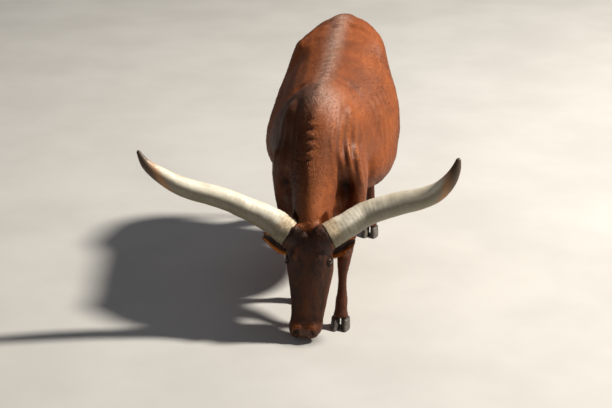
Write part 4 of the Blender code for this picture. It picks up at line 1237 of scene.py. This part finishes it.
def make_eye(name, side, material):
    """An eyeball with a bulging cornea."""
    centre = eye_centre(side)
    gaze = head_way(side, GAZE)
    bm = bmesh.new()
    bmesh.ops.create_uvsphere(bm, u_segments=48, v_segments=32, radius=EYE_RADIUS)
    for vert in bm.verts:
        bulge = max(0.0, vert.co.normalized().z - CORNEA_EDGE) / (1 - CORNEA_EDGE)
        vert.co *= 1.0 + CORNEA_BULGE * bulge
    turn = gaze.to_track_quat("Z", "Y").to_matrix().to_4x4()
    bmesh.ops.transform(bm, matrix=Matrix.Translation(centre) @ turn, verts=bm.verts)
    mesh = mesh_of(bm, name)
    mesh.shade_smooth()
    eye_marks(mesh, centre, gaze)
    return link(name, mesh, material)


def lid_ring(cosine, sine):
    """One cross-section of the lids: places along the gap, across it and outward."""
    heavy = 1.25 if sine > 0 else 0.85
    ring = []
    for out, off in LID_PROFILE:
        along = cosine * (LID_HALVES[0] + out * 1.1)
        across = sine * (LID_HALVES[1] + out * heavy) * (1 - 0.25 * abs(cosine) ** 3)
        ring.append((along, across, off - abs(cosine) ** 4 * 0.0025))
    return ring


def make_lids(name, side, material):
    """Upper and lower lid as one soft almond round the eyeball."""
    centre = eye_centre(side)
    outward = head_way(side, LID_OUTWARD)
    long_way = head_way(side, (0, 1, 0))
    long_way = (long_way - outward * long_way.dot(outward)).normalized()
    short_way = outward.cross(long_way)
    if short_way.z < 0:
        short_way = -short_way
    rings = [[centre + long_way * along + short_way * across + outward * off
              for along, across, off in lid_ring(cosine, sine)] for cosine, sine in circle(LID_STEPS)]
    lids = link(name, ring_mesh(name, rings, closed=True), material)
    modify(lids, "SUBSURF", levels=1, render_levels=1)
    lids.data.shade_smooth()
    return lids


# Ears

EAR_RINGS, EAR_STEPS = 40, 21
EAR_TILT = 0.10
FRINGE_TUFTS = 620
FRINGE_WIDTH, FRINGE_LIFT = 0.0016, 0.02


def ear_faces(side):
    """Outer and inner face of the ear: rows of points from root to tip."""
    part, turn = np.meshgrid(np.linspace(0, 1, EAR_RINGS), np.linspace(-1, 1, EAR_STEPS), indexing="ij")
    half = (0.013 + 0.030 * np.sin(math.pi * part ** 0.75)) * turn
    cup = 0.020 * np.sin(math.pi * (0.10 + 0.80 * part)) * (1 - turn ** 2)
    depth = 0.0012 * np.sin(part * 17 + turn * 3) - cup
    thick = 0.0045 * (1.2 - 0.75 * turn ** 2)
    middle = np.array(EAR_ROOT) + part[:, :, None] * np.array(EAR_REACHES[side])
    outer = middle + np.stack([EAR_TILT * half, half, depth], axis=2)
    inner = middle + np.stack([EAR_TILT * half, half * 0.93, depth + thick], axis=2)
    return [[[head_point(side * x, y, z) for x, y, z in row] for row in face.tolist()]
            for face in (outer, inner)]


def make_ear(name, side, material, hair_material):
    """A cupped leaf, and the hair along its rims."""
    faces = ear_faces(side)
    mesh = ring_mesh(name, [outer + inner[::-1] for outer, inner in zip(*faces)])
    turns = np.abs(np.linspace(-1, 1, EAR_STEPS))
    inner = np.concatenate([0 * turns, np.maximum(0, 1 - turns ** 2 * 1.2)])
    # Painted glow on the rims of the ear.
    rim = (0.8 * np.maximum(0, (turns - 0.72) / 0.28), np.clip((turns - 0.58) / 0.30, 0, 1))
    mark(mesh, inner=np.tile(inner, EAR_RINGS), rim=np.tile(np.concatenate(rim), EAR_RINGS))
    ear = link(name, mesh, material)
    unwrap(ear)
    return ear, ear_fringe(name + "_fringe", faces, side, vertex_map(mesh), hair_material)


def vertex_map(mesh):
    """One place on the map for each vertex."""
    places = np.zeros((len(mesh.vertices), 2))
    places[read(mesh.loops, "vertex_index", kind=np.int32)] = read(mesh.uv_layers[UV_MAP].data, "uv", 2)
    return places


def ear_fringe(name, faces, side, places, material):
    """Hair along both rims of the ear and over its mouth; places are the ear's own on its map."""
    rng = np.random.default_rng(SEED + 20 + side)
    tufts = []
    for _ in range(FRINGE_TUFTS):
        row = int(rng.integers(2, EAR_RINGS - 1))
        first = rng.random() < 0.5
        deep = int(rng.integers(0, 4))
        column = deep if first else EAR_STEPS - 1 - deep
        is_outer = rng.random() < 0.5
        face = faces[0 if is_outer else 1]
        spot = places[row * 2 * EAR_STEPS + (column if is_outer else 2 * EAR_STEPS - 1 - column)]
        here = face[row][column]
        beside = face[row][column + (1 if first else -1)]
        tipward = (face[min(row + 1, EAR_RINGS - 1)][column] - face[row - 1][column]).normalized()
        outward = (here - beside).normalized()
        lie = (outward * rng.uniform(0.25, 0.9) + tipward * rng.uniform(0.6, 1.0)).normalized()
        tufts.append((here, tipward.cross(outward).normalized(), lie, rng.uniform(0.008, 0.019), spot))
    roots, normals, lies, lengths, spots = (np.array(column) for column in zip(*tufts))
    normals = unit_rows(normals - lies * (normals * lies).sum(axis=1)[:, None])
    sizes = (lengths, np.full(FRINGE_TUFTS, FRINGE_WIDTH), np.full(FRINGE_TUFTS, FRINGE_LIFT))
    mesh = tuft_mesh(name, roots, normals, lies, *sizes, spots, dark=0.0, pale=0.75, frost=0.0)
    return link(name, mesh, material)


# Switch

SWITCH_LOCKS = 170
LOCK_STEPS, LOCK_SIDES = 9, 5
LOCK_THICK = 0.0016


def lock_rings(outward, path, width):
    """Rings of a flat tapered lock along a path."""
    rings = []
    for point, heading, part in zip(path, headings(path), np.linspace(0, 1, len(path))):
        swell = (0.55 + 0.45 * math.sin(math.pi * min(1.0, part * 1.4))) * (1 - part ** 2.2) + 0.02
        side = heading.cross(outward).normalized()
        up = side.cross(heading)
        rings.append([point + side * cosine * width * swell + up * sine * LOCK_THICK * swell
                      for cosine, sine in circle(LOCK_SIDES)])
    return rings


def make_switch(name, material):
    """The brush of the tail: seeded locks that fall, bend and thin out to their tips."""
    rng = np.random.default_rng(SEED + 3)
    low, high = (Vector(corner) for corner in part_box("tail_switch"))
    middle = (low + high) / 2
    size = high - low
    half = min(size.x, size.y) / 2
    bm = bmesh.new()
    for _ in range(SWITCH_LOCKS):
        turn = rng.uniform(0, FULL_TURN)
        root_z = high.z - size.z * rng.uniform(0.0, 0.62) ** 1.2
        length = min(size.z * rng.uniform(0.40, 0.75), root_z - low.z - 0.002)
        outward = Vector((math.cos(turn), math.sin(turn), 0))
        spread = half * rng.uniform(0.25, 0.95)
        phase = rng.uniform(0, 6.28)
        path = []
        for part in np.linspace(0, 1, LOCK_STEPS):
            swing = spread * math.sin(math.pi * min(1.0, 0.15 + part * 0.75)) * 0.9 + 0.008 * (1 - part)
            wave = 0.006 * math.sin(part * 5 + phase) * part
            point = Vector((middle.x, middle.y, root_z - length * part)) + outward * swing
            path.append(point + outward.cross(Vector((0, 0, 1))) * wave)
        add_rings(bm, lock_rings(outward, path, rng.uniform(0.0035, 0.0065)))
    switch = link(name, smooth_mesh(bm, name), material)
    unwrap(switch)
    return switch


# Light, floor and camera

FLOOR_HALF = 40.0
LIGHT_AIM = (0.1, -0.1, 0.7)
# Lights: name, place, size, power, colour
LIGHTS = (
    ("key", (8.3, 2.1, 9.5), 1.3, 2900.0, (1.0, 0.94, 0.84)),
    ("sky", (0.5, 3.6, 5.8), 3.5, 30.0, (0.86, 0.91, 1.0)),
    ("front", (2.2, -6.0, 3.0), 4.5, 26.0, (0.98, 0.95, 1.0)),
)
WORLD_COLOUR = (0.93, 0.94, 1.0, 1.0)
WORLD_STRENGTH = 0.10


def add_floor(material):
    bm = bmesh.new()
    bmesh.ops.create_grid(bm, x_segments=2, y_segments=2, size=FLOOR_HALF)
    floor = link("floor", mesh_of(bm, "floor"), material)


def add_lights():
    for name, place, size, power, colour in LIGHTS:
        data = bpy.data.lights.new(name, "AREA")
        data.shape = "DISK"
        data.size = size
        data.energy = power
        data.color = colour
        lamp = link(name, data)
        lamp.location = place
        lamp.rotation_euler = (Vector(place) - Vector(LIGHT_AIM)).to_track_quat("Z", "Y").to_euler()
    world = bpy.data.worlds.new("studio")
    world.use_nodes = True
    back = world.node_tree.nodes["Background"]
    back.inputs["Color"].default_value = WORLD_COLOUR
    back.inputs["Strength"].default_value = WORLD_STRENGTH
    bpy.context.scene.world = world
    bpy.context.scene.view_settings.view_transform = "Standard"


def add_camera():
    data = bpy.data.cameras.new("camera")
    data.sensor_fit = "HORIZONTAL"
    data.sensor_width = SENSOR
    data.lens = SENSOR * FOCAL_PIXELS / IMAGE_WIDTH
    camera = link("camera", data)
    turn = Euler((math.pi / 2 - ELEVATION, 0, AZIMUTH))
    camera.rotation_euler = turn
    camera.location = AIM + SHIFT + turn.to_matrix() @ Vector((0, RISE, DISTANCE))
    bpy.context.scene.camera = camera


def settle(piece, slot, *nodes):
    """Ride on the body, and stand for CAD nodes, which are hidden; slot is not used."""
    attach(piece, "root")
    if nodes:
        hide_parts(*nodes)


def main():
    hair = coat_material("coat_hair", True)
    horn = horn_material("horn")
    hoof = hoof_material("hoof")
    skin = make_skin(coat_material("coat"))
    settle(skin, "coat", *FLESH)
    for piece in make_coat(skin, hair):
        settle(piece, "coat")
    for name, side, stations in (("horn_left", 1, LEFT_HORN), ("horn_right", -1, RIGHT_HORN)):
        settle(make_horn(name + "_grown", side, stations, horn), "horn", name)
    for leg in LEGS:
        for letter, side in (("a", -1), ("b", 1)):
            node = "claw_%s_%s" % (leg, letter)
            settle(make_claw(node + "_horn", node, side, hoof), "hoof", node)
    ears = ear_material("ear")
    eye = eye_material("eye")
    lid = lid_material("lid")
    for name, side in SIDES:
        settle(make_eye("eyeball_" + name, side, eye), "eye", "eye_" + name)
        settle(make_lids("lids_" + name, side, lid), "dark_coat")
        ear, fringe = make_ear("ear_leaf_" + name, side, ears, hair)
        settle(ear, "coat", "ear_" + name)
        settle(fringe, "coat")
    settle(make_switch("switch_locks", switch_material("switch")), "dark_coat", "tail_switch")
    add_floor(floor_material("floor"))
    add_lights()
    add_camera()


main()
